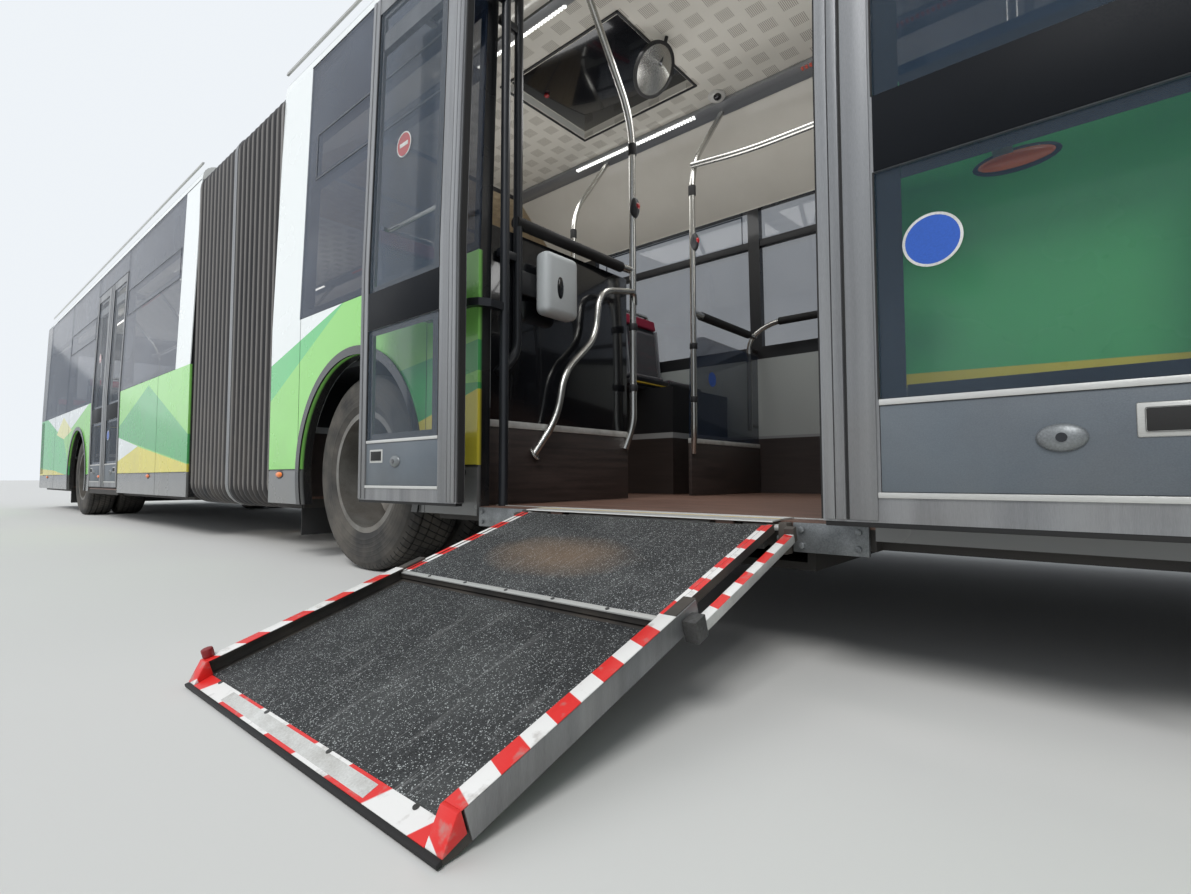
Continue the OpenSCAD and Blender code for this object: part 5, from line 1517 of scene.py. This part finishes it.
    def ceiling(self, section: str, x0: float, x1: float) -> None:
        """Metal edge bands, lamp strips, seams and small fittings under one section's ceiling."""
        piece = Piece(f"{section}_ceiling_fittings", f"{section}_section", "door_aluminium")
        for sign in (1, -1):
            band = ((0.595, 2.826), (0.595, 2.806), (0.64, 2.782), (0.69, 2.776), (0.694, 2.826))
            piece.plate(CEILING_TRIM, sided(sign, band), 0, x0, x1)
            start = x0 + 0.7 if section == "front" else x0 + 0.4
            while start + self.lamp_long < x1:
                lit = LAMP_LIT if round((start - x0) / self.lamp_pitch) % 2 == 0 else LAMP_RED
                low, high = span(sign, 0.603, 0.636)
                bar = piece.block(lit, (start, low, 2.7905), (start + 0.013, high, 2.803), 0)
                steps = (self.lamp_long * k / self.lamp_bars for k in range(1, self.lamp_bars))
                piece.copies((bar,), [Matrix.Translation((step, 0, 0)) for step in steps])
                start += self.lamp_pitch
        x = x0 + 0.9
        while x < x1:
            for sign in (1, -1):
                low, high = span(sign, 0.596, 0.598)
                piece.block(SALOON_GREY, (x, low, 2.8), (x + 0.003, high, 2.826), 0)
            x += self.seam_pitch
        if section == "front":
            self.hatch(piece)
        piece.done()

    @staticmethod
    def hatch(piece: Piece) -> None:
        """The roof hatch's frame and pane, the round mirror on its arm, and the camera."""
        for x0, x1, y0, y1 in ((0.015, 0.935, -0.39, -0.375), (0.015, 0.935, 0.375, 0.39),
                               (0.015, 0.03, -0.39, 0.39), (0.92, 0.935, -0.39, 0.39)):
            piece.block(BLACK_PLASTIC, (x0, y0, 2.822), (x1, y1, 2.832), 0.004)
        piece.block(GLOSS_BLACK, (0.045, -0.36, 2.874), (0.905, 0.36, 2.88), 0.003)
        piece.dome(RED_LENS, (0.13, -0.1, 2.868), (0.018, 0.018, 0.012), 14, 8)
        bowl = ((0, 0.0), (0.06, 0.004), (0.125, 0.02), (0.125, 0.024), (0, 0.01))
        lip = ((0.125, 0.016), (0.14, 0.016), (0.14, 0.032), (0.125, 0.032))
        shapes = [piece.lathe(finish, profile, (0, 0, 0), 2, 40)
                  for finish, profile in ((STAINLESS, bowl), (RUBBER_TRIM, lip))]
        turn = Matrix.Translation((0.955, -0.07, 2.665)) @ Matrix.Rotation(math.radians(-50), 4, "Y")
        piece.moved(shapes, turn)
        piece.rod(BLACK_PLASTIC, (0.975, -0.07, 2.69), (1.02, -0.07, 2.829), 0.01, 12)
        piece.dome(LABEL_WHITE, (0.98, 0.545, 2.824), (0.055, 0.055, 0.035), 24, 12)
        piece.dome(GLOSS_BLACK, (0.995, 0.525, 2.802), (0.026, 0.026, 0.022), 16, 10)

    def windows(self) -> None:
        """Black bars between the far windows' panes, as seen from inside."""
        for section, panes in (("front", ((-0.573, 0.858), (0.942, 2.438), (2.522, 4.018), (4.102, 5.598))),
                               ("rear", ((-4.308, -2.952), (-5.958, -4.392), (-7.658, -6.042)))):
            piece = Piece(f"{section}_window_bars", f"{section}_section", "black_plastic")
            for x0, x1 in panes:
                for sign in (1, -1):
                    if sign < 0 and (section == "rear" or x0 > 0.9):
                        continue
                    bar = sided(sign, skin(2.07, 2.12, -0.058, -0.014))
                    piece.plate(BLACK_PLASTIC, bar, 0, x0 + 0.002, x1 - 0.002, 0.003)
            piece.done()

    def build(self) -> None:
        """Makes the fittings of both sections."""
        self.rails("front", (0.0, 0.95, 2.56, 3.6, 4.64, 5.9), 0.95, 5.98, BODY.floor)
        self.rails("rear", (-7.7, -6.17, -4.3, -2.95), -8.05, -2.9, BODY.floor)
        self.partition()
        self.ceiling("front", -0.96, 5.98)
        self.ceiling("rear", -9.4, -2.6)
        self.windows()


@dataclass
class Trim:
    """Markers, seams, roof gutters and flaps on the sides."""

    half_line: float = 0.0015

    def marker(self, piece: Piece, x: float, z: float, sign: float, long: float, high: float) -> None:
        """An oval amber side marker on its dark base."""
        y = sign * BODY.face(z)
        piece.dome(BLACK_PLASTIC, (x, y, z), (long / 2 + 0.008, 0.006, high / 2 + 0.007))
        piece.dome(AMBER_LENS, (x, y, z), (long / 2, 0.016, high / 2))

    def hairlines(self, piece: Piece, sign: float, lines: Sequence[Point]) -> None:
        """Thin dark joints between skin panels, given as two ends each."""
        for x0, z0, x1, z1 in lines:
            line = skin(min(z0, z1) - self.half_line, max(z0, z1) + self.half_line, -0.001, 0.0006)
            piece.plate(RUBBER_TRIM, sided(sign, line), 0, min(x0, x1) - self.half_line,
                max(x0, x1) + self.half_line)

    def section(self, name: str, x0: float, x1: float, markers: Sequence[Point], joints: Sequence[float],
                spans: dict[int, Sequence[Point]], hoppers: dict[int, Sequence[Point]]) -> None:
        """Trims one section.

        Args:
            name: "front" or "rear".
            x0: Rear end of its sides.
            x1: Front end.
            markers: Places and sizes of the right side's markers.
            joints: Places of the upright joints below the windows.
            spans: Stretches of the skirt joint for each side, by sign.
            hoppers: Stretches of the tilting windows for each side, by sign.
        """
        piece = Piece(f"{name}_trim", f"{name}_section", "black_plastic")
        for sign in (1, -1):
            for x, z, long, high in markers:
                self.marker(piece, x, z, sign, long, high)
            for a, b in spans[sign]:
                self.hairlines(piece, sign, ((a, BODY.seam, b, BODY.seam),))
            for x in joints:
                self.hairlines(piece, sign, ((x, BODY.skirt + 0.004, x, BODY.belt),))
            lip = ((-0.006, 2.905), (0.007, 2.905), (0.007, 2.911), (0.0, 2.913), (0.004, 2.922),
                (-0.012, 2.925))
            gutter = [(BODY.face(BODY.eave) + y, z) for y, z in lip]
            piece.plate(ALUMINIUM_BAR, sided(sign, gutter), 0, x0 + 0.01, x1 - 0.01)
            for a, b in hoppers[sign]:
                bars = ((a, b, 2.08, 2.09), (a, b, 2.335, 2.345), (a, a + 0.01, 2.09, 2.335),
                        (b - 0.01, b, 2.09, 2.335))
                for x2, x3, z2, z3 in bars:
                    piece.plate(HOPPER_FRAME, sided(sign, skin(z2, z3, -0.001, 0.0022)), 0, x2, x3)
            cant = skin(2.781, 2.787, -0.001, 0.001)
            piece.plate(RUBBER_TRIM, sided(sign, cant), 0, x0 + 0.37, x1 - 0.01)
        piece.done()

    def flaps(self) -> None:
        """Rubber flaps behind the wheels."""
        for name, places in (("front", (4.7, -0.66)), ("rear", (-7.56,))):
            piece = Piece(f"{name}_mud_flaps", f"{name}_section", "black_plastic")
            for x in places:
                for sign in (1, -1):
                    low, high = span(sign, 0.93, 1.22)
                    piece.block(RUBBER_TRIM, (x - 0.006, low, 0.13), (x + 0.006, high, 0.5), 0.003)
                    for y in (0.97, 1.07, 1.17):
                        piece.rod(GALVANISED, (x - 0.011, sign * y, 0.47), (x + 0.011, sign * y, 0.47),
                            0.008, 6, 0.001)
            piece.done()

    def build(self) -> None:
        """Trims both sections."""
        self.section("front", BODY.section_rear, BODY.mask,
            ((-0.829, 0.467, 0.085, 0.034), (0.843, 0.467, 0.085, 0.034), (2.637, 1.07, 0.13, 0.036),
            (4.15, 0.467, 0.085, 0.034)), (-0.6, 0.62, 3.9, 4.7, 6.02),
            {1: ((-0.98, -0.61), (0.61, 4.74), (5.96, 7.53)),
            -1: ((-0.98, -0.61), (0.61, 0.95), (2.37, 4.74), (5.96, 6.07), (7.49, 7.53))},
            {1: ((-0.5, 0.79), (2.53, 4.01)), -1: ((-0.5, 0.86), (2.42, 3.6))})
        self.section("rear", BODY.tail_cap, BODY.trailer_front,
            ((-3.61, 0.467, 0.085, 0.034), (-5.6, 0.467, 0.085, 0.034), (-9.1, 0.467, 0.085, 0.034)),
            (-3.4, -4.75, -7.55, -8.6), {1: ((-9.53, -7.47), (-6.33, -2.55)),
            -1: ((-9.53, -7.57), (-4.75, -2.55))}, {1: ((-5.95, -4.4), (-9.45, -7.75)),
            -1: ((-4.71, -2.96), (-7.75, -6.21))})
        self.flaps()


@dataclass
class Wheels:
    """Nuts, hub cap bolts and valves of the six wheels."""

    pitch: float = 0.1675
    nuts: int = 10
    cap_pitch: float = 0.085
    cap_nuts: int = 8
    track: float = 1.0775
    twin_track: float = 0.9225

    def wheel(self, name: str, body: str, x: float, sign: float, disc: float, cap: float) -> None:
        """Dresses one wheel.

        Args:
            name: The piece's name.
            body: The body that it rides on.
            x: Distance of the axle.
            sign: 1 on the left and -1 on the right.
            disc: Distance of the disc's outer face from the centre line.
            cap: Distance of the hub's outer end.
        """
        piece = Piece(name, body, "wheel_metal")
        centre = Vector((x, 0, BODY.tyre_r))
        nut = ((0.021, 20, 0.0, 0.004, CAST_METAL), (0.0175, 6, 0.003, 0.024, CAST_METAL),
               (0.011, 12, 0.022, 0.038, GALVANISED))
        for k in range(self.nuts):
            turn = 2 * math.pi * k / self.nuts
            spot = centre + Vector((math.cos(turn), 0, math.sin(turn))) * self.pitch
            for radius, sides, near, far, finish in nut:
                a, b = (Vector((spot.x, sign * (disc + r), spot.z)) for r in (near, far))
                piece.rod(finish, a, b, radius, sides, 0.0012)
        for k in range(self.cap_nuts):
            turn = 2 * math.pi * (k + 0.5) / self.cap_nuts
            spot = centre + Vector((math.cos(turn), 0, math.sin(turn))) * self.cap_pitch
            a, b = (Vector((spot.x, sign * (cap + r), spot.z)) for r in (-0.002, 0.007))
            piece.rod(GALVANISED, a, b, 0.007, 6, 0.001)
        a, b = ((x + 0.245, sign * (disc + r), BODY.tyre_r) for r in (-0.02, 0.04))
        piece.tube(CAST_METAL, (a, b), 0.005)
        piece.done()

    def build(self) -> None:
        """Dresses all the wheels."""
        for side, sign in (("left", 1), ("right", -1)):
            self.wheel(f"front_{side}_nuts", f"wheel_front_{side}", BODY.front_axle, sign,
                self.track + 0.098, self.track + 0.156)
            for name, x in (("middle", 0.0), ("rear", BODY.rear_axle)):
                self.wheel(f"{name}_{side}_nuts", f"wheels_{name}_{side}", x, sign, self.twin_track + 0.02,
                           self.twin_track + 0.208)


@dataclass
class Seats:
    """All passenger seats: moulded shells, and pads whose swell is simulated once and then repeated."""

    width: float = 0.414
    pitch: float = 0.43
    inner: float = 0.345
    raised: float = 0.4
    foot: float = 0.02
    well: float = 1.03
    podium: float = 0.98
    driver: Point = (6.4, 0.665, 0.817)
    swelling: float = 0.009
    pressure: float = 4.0
    cloth_steps: int = 20
    voxel: float = 0.006
    faces: int = 900
    groove_y: float = 0.105
    groove_half: float = 0.006
    groove_deep: float = 0.005

    def table(self, section: str) -> tuple[tuple[float, int, int, float], ...]:
        """Place of the back, side, facing and height of the surface below, for each pair of seats."""
        floor, well = BODY.floor, self.well
        if section == "front":
            return ((0.02, 1, 1, well), (-0.02, 1, -1, well), (0.02, -1, 1, well), (-0.02, -1, -1, well),
                    (2.75, 1, 1, floor), (3.5, 1, 1, floor), (2.7, -1, 1, floor), (3.45, -1, 1, floor),
                    (5.37, 1, 1, well), (5.33, 1, -1, well), (5.33, -1, -1, well))
        return ((-3.5, 1, 1, floor), (-4.3, 1, 1, floor), (-3.5, -1, 1, floor), (-6.88, 1, 1, well),
            (-6.92, 1, -1, well), (-6.88, -1, 1, well), (-6.92, -1, -1, well), (-9.15, 1, 1, self.podium),
            (-9.15, -1, 1, self.podium))

    def places(self, section: str) -> list[Matrix]:
        """Where each seat stands; a seat is drawn facing +X with its back at X = 0."""
        made = []
        for x, side, facing, surface in self.table(section):
            rise = self.foot if surface > BODY.floor else self.raised
            for k in range(2):
                y = side * (self.inner + self.pitch * (k + 0.5))
                made.append(Matrix.Translation((x, y, surface + rise)) @ Matrix.Diagonal((facing, 1, 1, 1)))
        return made

    def swell(self, shape: Shape, cap: float) -> None:
        """Inflates a pad by cloth simulation, keeps each point near its start, and thins the mesh.

        Args:
            shape: The pad.
            cap: Furthest that a point may move.
        """
        bpy.context.view_layer.objects.active = shape
        remesh = shape.modifiers.new("remesh", "REMESH")
        remesh.mode, remesh.voxel_size = "VOXEL", self.voxel
        bpy.ops.object.modifier_apply(modifier=remesh.name)
        start = [v.co.copy() for v in shape.data.vertices]
        cloth = shape.modifiers.new("cloth", "CLOTH")
        cloth.settings.use_pressure = True
        cloth.settings.uniform_pressure_force = self.pressure
        cloth.settings.effector_weights.gravity = 0.0
        for step in range(1, self.cloth_steps + 1):
            bpy.context.scene.frame_set(step)
        bpy.ops.object.modifier_apply(modifier=cloth.name)
        bpy.context.scene.frame_set(1)
        for vertex, old in zip(shape.data.vertices, start):
            moved = vertex.co - old
            if moved.length > cap:
                vertex.co = old + moved.normalized() * cap
            for seam in (-self.groove_y, self.groove_y):
                groove = math.exp(-((vertex.co.y - seam) / self.groove_half) ** 2)
                vertex.co.z -= self.groove_deep * groove if vertex.co.z > 0 else 0.0
        thin = shape.modifiers.new("thin", "DECIMATE")
        thin.ratio = min(1.0, self.faces / len(shape.data.polygons))
        bpy.ops.object.modifier_apply(modifier=thin.name)

    def pads(self, section: str) -> None:
        """The seat and back pads of one section."""
        piece = Piece(f"{section}_seat_pads", f"{section}_section", "seat_fabric")
        seat = piece.block(SEAT_CLOTH, (-0.155, -0.188, -0.013), (0.155, 0.188, 0.013), 0.01, 3)
        back = piece.block(SEAT_CLOTH, (-0.215, -0.185, -0.01), (0.215, 0.185, 0.01), 0.008, 3)
        for shape in (seat, back):
            self.swell(shape, self.swelling)
        piece.moved((seat,), Matrix.Translation((0.268, 0, 0.057)) @ Matrix.Rotation(math.radians(-4.0), 4,
            "Y"))
        tilt = math.atan2(0.46, -0.05)
        piece.moved((back,), Matrix.Translation((0.056, 0, 0.318)) @ Matrix.Rotation(-tilt, 4, "Y")
                    @ Matrix.Rotation(math.pi, 4, "Z"))
        places = self.places(section)
        if section == "front":
            places.append(Matrix.Translation(self.driver))
        piece.repeat(places)
        made = piece.done()

    def shells(self, section: str) -> None:
        """The moulded shells, head parts, edges, handles and pedestals of one section."""
        piece = Piece(f"{section}_seat_shells", f"{section}_section", "seat_fabric")
        half = self.width / 2
        base = ((0.096, 0.004), (0.12, 0.0), (0.425, 0.0), (0.445, 0.05), (0.438, 0.058), (0.415, 0.04),
                (0.12, 0.034), (0.096, 0.048))
        back = ((0.045, 0.005), (0.095, 0.02), (0.088, 0.06), (0.066, 0.1), (0.014, 0.56), (0.004, 0.63),
                (-0.014, 0.65), (-0.03, 0.628))
        piece.plate(SEAT_SHELL, base, 1, -half, half, 0.006)
        piece.plate(SEAT_SHELL, back, 1, -half, half, 0.006)
        head = ((0.016, 0.552), (0.04, 0.56), (0.026, 0.63), (0.004, 0.64))
        piece.plate(SEAT_RED, head, 1, -half + 0.01, half - 0.01, 0.007, 3)
        for sign in (1, -1):
            side = ((0.07, 0.075), (0.092, 0.075), (0.046, 0.55), (0.02, 0.55))
            piece.plate(SEAT_GREY, side, 1, *span(sign, half - 0.016, half - 0.001), 0.003)
        rim = half - 0.006
        route = ((0.105, rim, 0.006), (0.432, rim, 0.02), (0.432, -rim, 0.02), (0.105, -rim, 0.006))
        piece.tube(SEAT_YELLOW, route, 0.006, 0.03, 2)
        grip = ((-0.006, -0.15, 0.63), (-0.014, -0.15, 0.668), (-0.014, 0.15, 0.668), (-0.006, 0.15, 0.63))
        piece.tube(STAINLESS, grip, 0.01, 0.03, 2)
        piece.repeat(self.places(section))
        for x, side, facing, surface in self.table(section):
            y0, y1 = span(side, self.inner + 0.02, self.inner + 2 * self.pitch - 0.02)
            if surface > BODY.floor:
                a, b = sorted((x + facing * 0.07, x + facing * 0.42))
                piece.block(BLACK_PLASTIC, (a, y0, surface + 0.0005), (b, y1, surface + self.foot), 0.003)
            else:
                top = surface + self.raised
                a, b = sorted((x + facing * 0.1, x + facing * 0.4))
                piece.block(BLACK_STEEL, (a, y0, top - 0.03), (b, y1, top - 0.0005), 0.004)
                leg = side * (self.inner + self.pitch - 0.09)
                c = x + facing * 0.23
                piece.block(BLACK_STEEL, (c - 0.03, leg - 0.03, surface + 0.008),
                    (c + 0.03, leg + 0.03, top - 0.03), 0.008)
                piece.block(BLACK_STEEL, (c - 0.11, leg - 0.04, surface + 0.0005),
                    (c + 0.13, leg + 0.04, surface + 0.01), 0.003)
        piece.done(f"{section}_seats")

    def build(self) -> None:
        """Makes the seats of both sections."""
        for section in ("front", "rear"):
            self.shells(section)
            self.pads(section)


@dataclass
class Ends:
    """Lamps, plates, wipers, display, grille and mirror glass at both ends."""

    ahead: float = 12.0
    behind: float = -14.0
    shoulder: float = 1.2
    plate: tuple[Point, Point] = ((-0.26, 0.26), (0.365, 0.475))

    def touch(self, node: str, y: float, z: float) -> Vector:
        """The outermost point of an end's CAD node at a place across the bus and a height."""
        front = node in ("front_mask", "windscreen")
        origin = ORIGIN + Vector((self.ahead if front else self.behind, y, z))
        found, spot, _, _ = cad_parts[node].ray_cast(origin, Vector((-1.0 if front else 1.0, 0, 0)))
        if not found:
            raise ValueError(f"{node} has nothing at {y}, {z}")
        return spot - ORIGIN

    def patch(self, piece: Piece, finish: Finish, node: str, across: Point, up: Point, lift: float,
              steps: int = 12) -> None:
        """A thin skin that follows an end's shape between limits across and in height."""
        out = lift if node in ("front_mask", "windscreen") else -lift
        rows = []
        for z in (up[0], (up[0] + up[1]) / 2, up[1]):
            ys = [across[0] + (across[1] - across[0]) * k / steps for k in range(steps + 1)]
            spots = [self.touch(node, y, z) for y in ys]
            outer = [(p.x + out, p.y, z) for p in spots]
            inner = [(p.x - out * 0.5, p.y, z) for p in reversed(spots)]
            rows.append([*outer, *inner])
        piece.loft(finish, rows)

    def joint(self, piece: Piece, node: str, z: float, radius: float) -> None:
        """A dark joint across an end at one height."""
        line = [tuple(self.touch(node, -self.shoulder + 0.1 * k, z)) for k in range(25)]
        piece.tube(RUBBER_TRIM, line, radius, 0.01, 2)

    def lamp(self, piece: Piece, finish: Finish, node: str, y: float, z: float, radius: float,
             depth: float) -> None:
        """A round lamp with its ring on an end's face."""
        spot = self.touch(node, y, z)
        out = 1.0 if spot.x > 0 else -1.0
        ring = ((radius, -0.02), (radius + 0.014, -0.02), (radius + 0.014, 0.01), (radius, 0.014))
        lens = ((0.0, -0.01), (radius, -0.01), (radius, 0.006), (radius * 0.7, depth), (0.0, depth * 1.25))
        for part, profile in ((BLACK_PLASTIC, ring), (finish, lens)):
            piece.lathe(part, [(r, out * a) for r, a in profile], tuple(spot), 0, 32)

    def front(self) -> None:
        """Front lamps, bumper joint, blank display and plate, and the wipers."""
        piece = Piece("front_end_fittings", "front_section", "black_plastic")
        for sign in (1, -1):
            for y, z, radius, finish in ((0.74, 0.66, 0.062, CLEAR_LENS), (0.9, 0.66, 0.062, CLEAR_LENS),
                                         (1.02, 0.66, 0.04, AMBER_LENS), (0.82, 0.42, 0.045, CLEAR_LENS)):
                self.lamp(piece, finish, "front_mask", sign * y, z, radius, 0.018)
            low, high = span(sign, 0.64, 1.09)
            self.patch(piece, GLOSS_BLACK, "front_mask", (low, high), (0.575, 0.745), 0.003)
            for y, z in ((0.95, 2.88), (0.0, 2.88)):
                self.lamp(piece, CLEAR_LENS, "front_mask", sign * y, z, 0.022, 0.01)
            arm, blade = ([self.touch("windscreen", sign * y, z) + Vector((out, 0, 0)) for y, z in spots]
                          for out, spots in ((0.03, ((0.1, 1.09), (0.3, 1.13), (0.62, 1.22))),
                                             (0.016, [(y, 1.115 + 0.16 * y) for y in (0.12, 0.6, 1.08)])))
            piece.tube(BLACK_PLASTIC, arm, 0.009, 0.05)
            piece.tube(RUBBER_TRIM, blade, 0.007, 0.2)
            piece.rod(BLACK_PLASTIC, arm[0] - Vector((0.05, 0, 0)), arm[0], 0.018, 20, 0.003)
        for z, radius in ((BODY.seam, 0.0035), (1.045, 0.0045)):
            self.joint(piece, "front_mask", z, radius)
        self.patch(piece, GLOSS_BLACK, "front_mask", (-0.85, 0.85), (2.545, 2.76), 0.003)
        self.patch(piece, LABEL_WHITE, "front_mask", *self.plate, 0.006, 6)
        self.patch(piece, BLACK_PLASTIC, "front_mask", (-0.52, 0.52), (0.545, 0.62), 0.004)
        piece.done()

    def rear(self) -> None:
        """Rear lamps, grille slats over a dark sheet of painted shade, bumper joint and blank plate."""
        piece = Piece("rear_end_fittings", "rear_section", "black_plastic")
        for sign in (1, -1):
            for z, radius, finish in ((1.18, 0.05, AMBER_LENS), (1.05, 0.05, RED_LENS),
                    (0.92, 0.05, RED_LENS), (0.79, 0.05, CLEAR_LENS), (2.62, 0.035, RED_LENS),
                    (0.6, 0.036, RED_LENS)):
                self.lamp(piece, finish, "rear_panel", sign * 1.06, z, radius, 0.016)
            self.patch(piece, GLOSS_BLACK, "rear_panel", span(sign, 0.985, 1.135), (0.725, 1.245), 0.003)
        for k in range(15):
            z = 0.6 + 0.04 * k
            self.patch(piece, BLACK_PLASTIC, "rear_panel", (-0.78, 0.78), (z, z + 0.022), 0.007, 6)
        # Painted shade: a dark sheet behind the grille slats stands for the shade between them.
        self.patch(piece, RUBBER_TRIM, "rear_panel", (-0.8, 0.8), (0.585, 1.195), 0.0015)
        self.patch(piece, LABEL_WHITE, "rear_panel", *self.plate, 0.006, 6)
        self.patch(piece, GLOSS_BLACK, "rear_panel", (-0.55, 0.55), (2.56, 2.7), 0.003, 8)
        self.joint(piece, "rear_panel", BODY.seam, 0.0035)
        piece.done()

    def mirrors(self) -> None:
        """The glass of both outside mirrors."""
        piece = Piece("mirror_glass", "front_section", "black_plastic")
        for sign in (1, -1):
            for low, high in ((1.865, 2.125), (1.715, 1.85)):
                y0, y1 = span(sign, BODY.half_w + 0.045, BODY.half_w + 0.215)
                piece.block(MIRROR, (8.1165, y0, low), (8.121, y1, high), 0.0015)
        piece.done()

    def build(self) -> None:
        """Makes the fittings of both ends."""
        self.front()
        self.rear()
        self.mirrors()


@dataclass
class RoofUnits:
    """Lids, grilles, fan guards and joints on the roof's units."""

    top: float = 3.13

    def unit(self, piece: Piece, x0: float, x1: float, half: float, fans: Sequence[float]) -> None:
        """Dresses one unit.

        Args:
            piece: The piece that takes the shapes.
            x0: Rear end.
            x1: Front end.
            half: Half width.
            fans: Places of its fans along the bus.
        """
        for x in fans:
            for radius in (0.06, 0.12, 0.18, 0.24):
                piece.ring(BLACK_STEEL, radius, radius + 0.006, 0.006, (x, 0, self.top), 2, 32)
            piece.rod(BLACK_PLASTIC, (x, 0, self.top - 0.001), (x, 0, self.top + 0.002), 0.245, 48)
            for turn in range(0, 180, 45):
                reach = Vector((math.cos(math.radians(turn)), math.sin(math.radians(turn)), 0)) * 0.25
                middle = Vector((x, 0, self.top + 0.004))
                piece.rod(BLACK_STEEL, middle - reach, middle + reach, 0.003, 8)
        for sign in (1, -1):
            for k in range(6):
                x = x0 + (x1 - x0) * (k + 0.5) / 6
                low, high = span(sign, half - 0.12, half - 0.07)
                piece.block(RUBBER_TRIM, (x - 0.1, low, self.top - 0.001),
                            (x + 0.1, high, self.top + 0.0015), 0.001, 1)
                piece.dome(GALVANISED, (x, sign * (half - 0.045), self.top), (0.009, 0.009, 0.006), 10, 6)
        piece.block(RUBBER_TRIM, ((x0 + x1) / 2 - 0.003, -half + 0.04, self.top - 0.001),
                    ((x0 + x1) / 2 + 0.003, half - 0.04, self.top + 0.0012), 0)

    def build(self) -> None:
        """Dresses the units of both roofs."""
        for name, units in (("front", ((2.5, 4.9, 0.82, (3.1, 3.7, 4.3)), (5.5, 6.3, 0.56, ()))),
                            ("rear", ((-9.0, -6.8, 0.82, (-8.4, -7.9, -7.4)), (-5.3, -4.5, 0.56, ())))):
            piece = Piece(f"{name}_roof_fittings", f"{name}_section", "roof_paint")
            for unit in units:
                self.unit(piece, *unit)
            piece.done()


@dataclass
class Studio:
    """Camera, floor and soft lamps."""

    eye: Point = (2.7561, -2.6815, 0.4457)
    yaw: float = 49.281
    pitch: float = 2.959
    roll: float = 0.076
    focal_px: float = 597.1
    frame_px: float = 1191.0
    sensor: float = 36.0

    def camera(self) -> None:
        """Sets the camera where the photograph was taken."""
        yaw, pitch, roll = (math.radians(a) for a in (self.yaw, self.pitch, self.roll))
        ahead = Vector((-math.cos(yaw) * math.cos(pitch), math.sin(yaw) * math.cos(pitch), math.sin(pitch)))
        right = Vector((math.sin(yaw), math.cos(yaw), 0.0))
        up = right.cross(ahead)
        turned_right = right * math.cos(roll) - up * math.sin(roll)
        turned_up = right * math.sin(roll) + up * math.cos(roll)
        matrix = Matrix((turned_right, turned_up, -ahead)).transposed().to_4x4()
        matrix.translation = Vector(self.eye) + ORIGIN
        lens = bpy.data.cameras.new("photo_camera")
        lens.sensor_width = self.sensor
        lens.lens = self.sensor * self.focal_px / self.frame_px
        lens.clip_start, lens.clip_end = 0.02, 500.0
        made = link(bpy.data.objects.new("photo_camera", lens))
        made.matrix_world = matrix
        bpy.context.scene.camera = made

    def floor(self) -> None:
        """Lays the pale floor."""
        deselect()
        bpy.ops.mesh.primitive_plane_add(size=400, location=(ORIGIN.x, ORIGIN.y, -0.0005))
        made = bpy.context.object
        made.name = "studio_floor"
        sheet = Sheet("studio_floor")
        sheet.set(Base_Color=linear(214, 213, 209), Roughness=0.9)
        made.data.materials.append(sheet.material)

    def world(self) -> None:
        """Sets a plain pale surround."""
        world = bpy.data.worlds.new("pale_surround")
        world.use_nodes = True
        bpy.context.scene.world = world
        tree = world.node_tree
        back, seen = tree.nodes["Background"], tree.nodes.new("ShaderNodeBackground")
        for node, colour, strength in ((back, (0.86, 0.92, 1.0, 1.0), 0.62),
                (seen, (0.86, 0.9, 0.94, 1.0), 1.0)):
            node.inputs[0].default_value = colour
            node.inputs[1].default_value = strength
        path, most, mixed = (tree.nodes.new("ShaderNode" + kind)
            for kind in ("LightPath", "Math", "MixShader"))
        most.operation = "MAXIMUM"
        for source, target in ((path.outputs["Is Camera Ray"], most.inputs[0]),
                               (path.outputs["Is Transmission Ray"], most.inputs[1]),
                               (most.outputs[0], mixed.inputs[0]), (back.outputs[0], mixed.inputs[1]),
                               (seen.outputs[0], mixed.inputs[2]),
                               (mixed.outputs[0], tree.nodes["World Output"].inputs[0])):
            tree.links.new(source, target)

    def lamps(self) -> None:
        """Hangs a wide soft sun and a weak fill."""
        for name, energy, angle, turn in (("soft_sun", 1.7, 25.0, (38, 18, 0)),
                ("fill", 0.45, 60.0, (60, 0, -60))):
            lamp = bpy.data.lights.new(name, "SUN")
            lamp.energy, lamp.angle = energy, math.radians(angle)
            made = link(bpy.data.objects.new(name, lamp))
            made.rotation_euler = [math.radians(a) for a in turn]

    def saloon_lamps(self) -> None:
        """Hangs soft area lamps in the saloon in pairs, towards the floor and towards the ceiling."""
        for x in (3.6, 1.3, -0.2, -3.8, -6.4, -8.6):
            for z, turn, power in ((2.7, 0.0, 9.0), (1.75, math.pi, 5.0)):
                lamp = bpy.data.lights.new("saloon_lamp", "AREA")
                lamp.shape, lamp.size, lamp.size_y, lamp.energy = "RECTANGLE", 1.3, 0.5, power
                made = link(bpy.data.objects.new("saloon_lamp", lamp))
                made.location = ORIGIN + Vector((x, 0, z))
                made.rotation_euler = (turn, 0, 0)
                made.visible_camera = False

    def build(self) -> None:
        """Sets up the whole studio."""
        self.camera()
        self.floor()
        self.world()
        self.lamps()
        self.saloon_lamps()
        bpy.context.scene.view_settings.view_transform = "Standard"


def corners(box: Sequence[Point]) -> list[list[float]]:
    """A box's two corners as plain lists of numbers."""
    return [[round(float(c), 5) for c in corner] for corner in box]


def main() -> None:
    """Builds the bus's finishes and fine pieces in order."""
    logging.basicConfig(level=logging.INFO, format="%(message)s")
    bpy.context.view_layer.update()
    Studio().build()
    CarriedNodes().dress()
    Articulation().build()
    Ramp().build()
    DoorLeaves().build()
    Saloon().build()
    Trim().build()
    Wheels().build()
    Seats().build()
    Ends().build()
    RoofUnits().build()


if __name__ == "__main__":
    main()
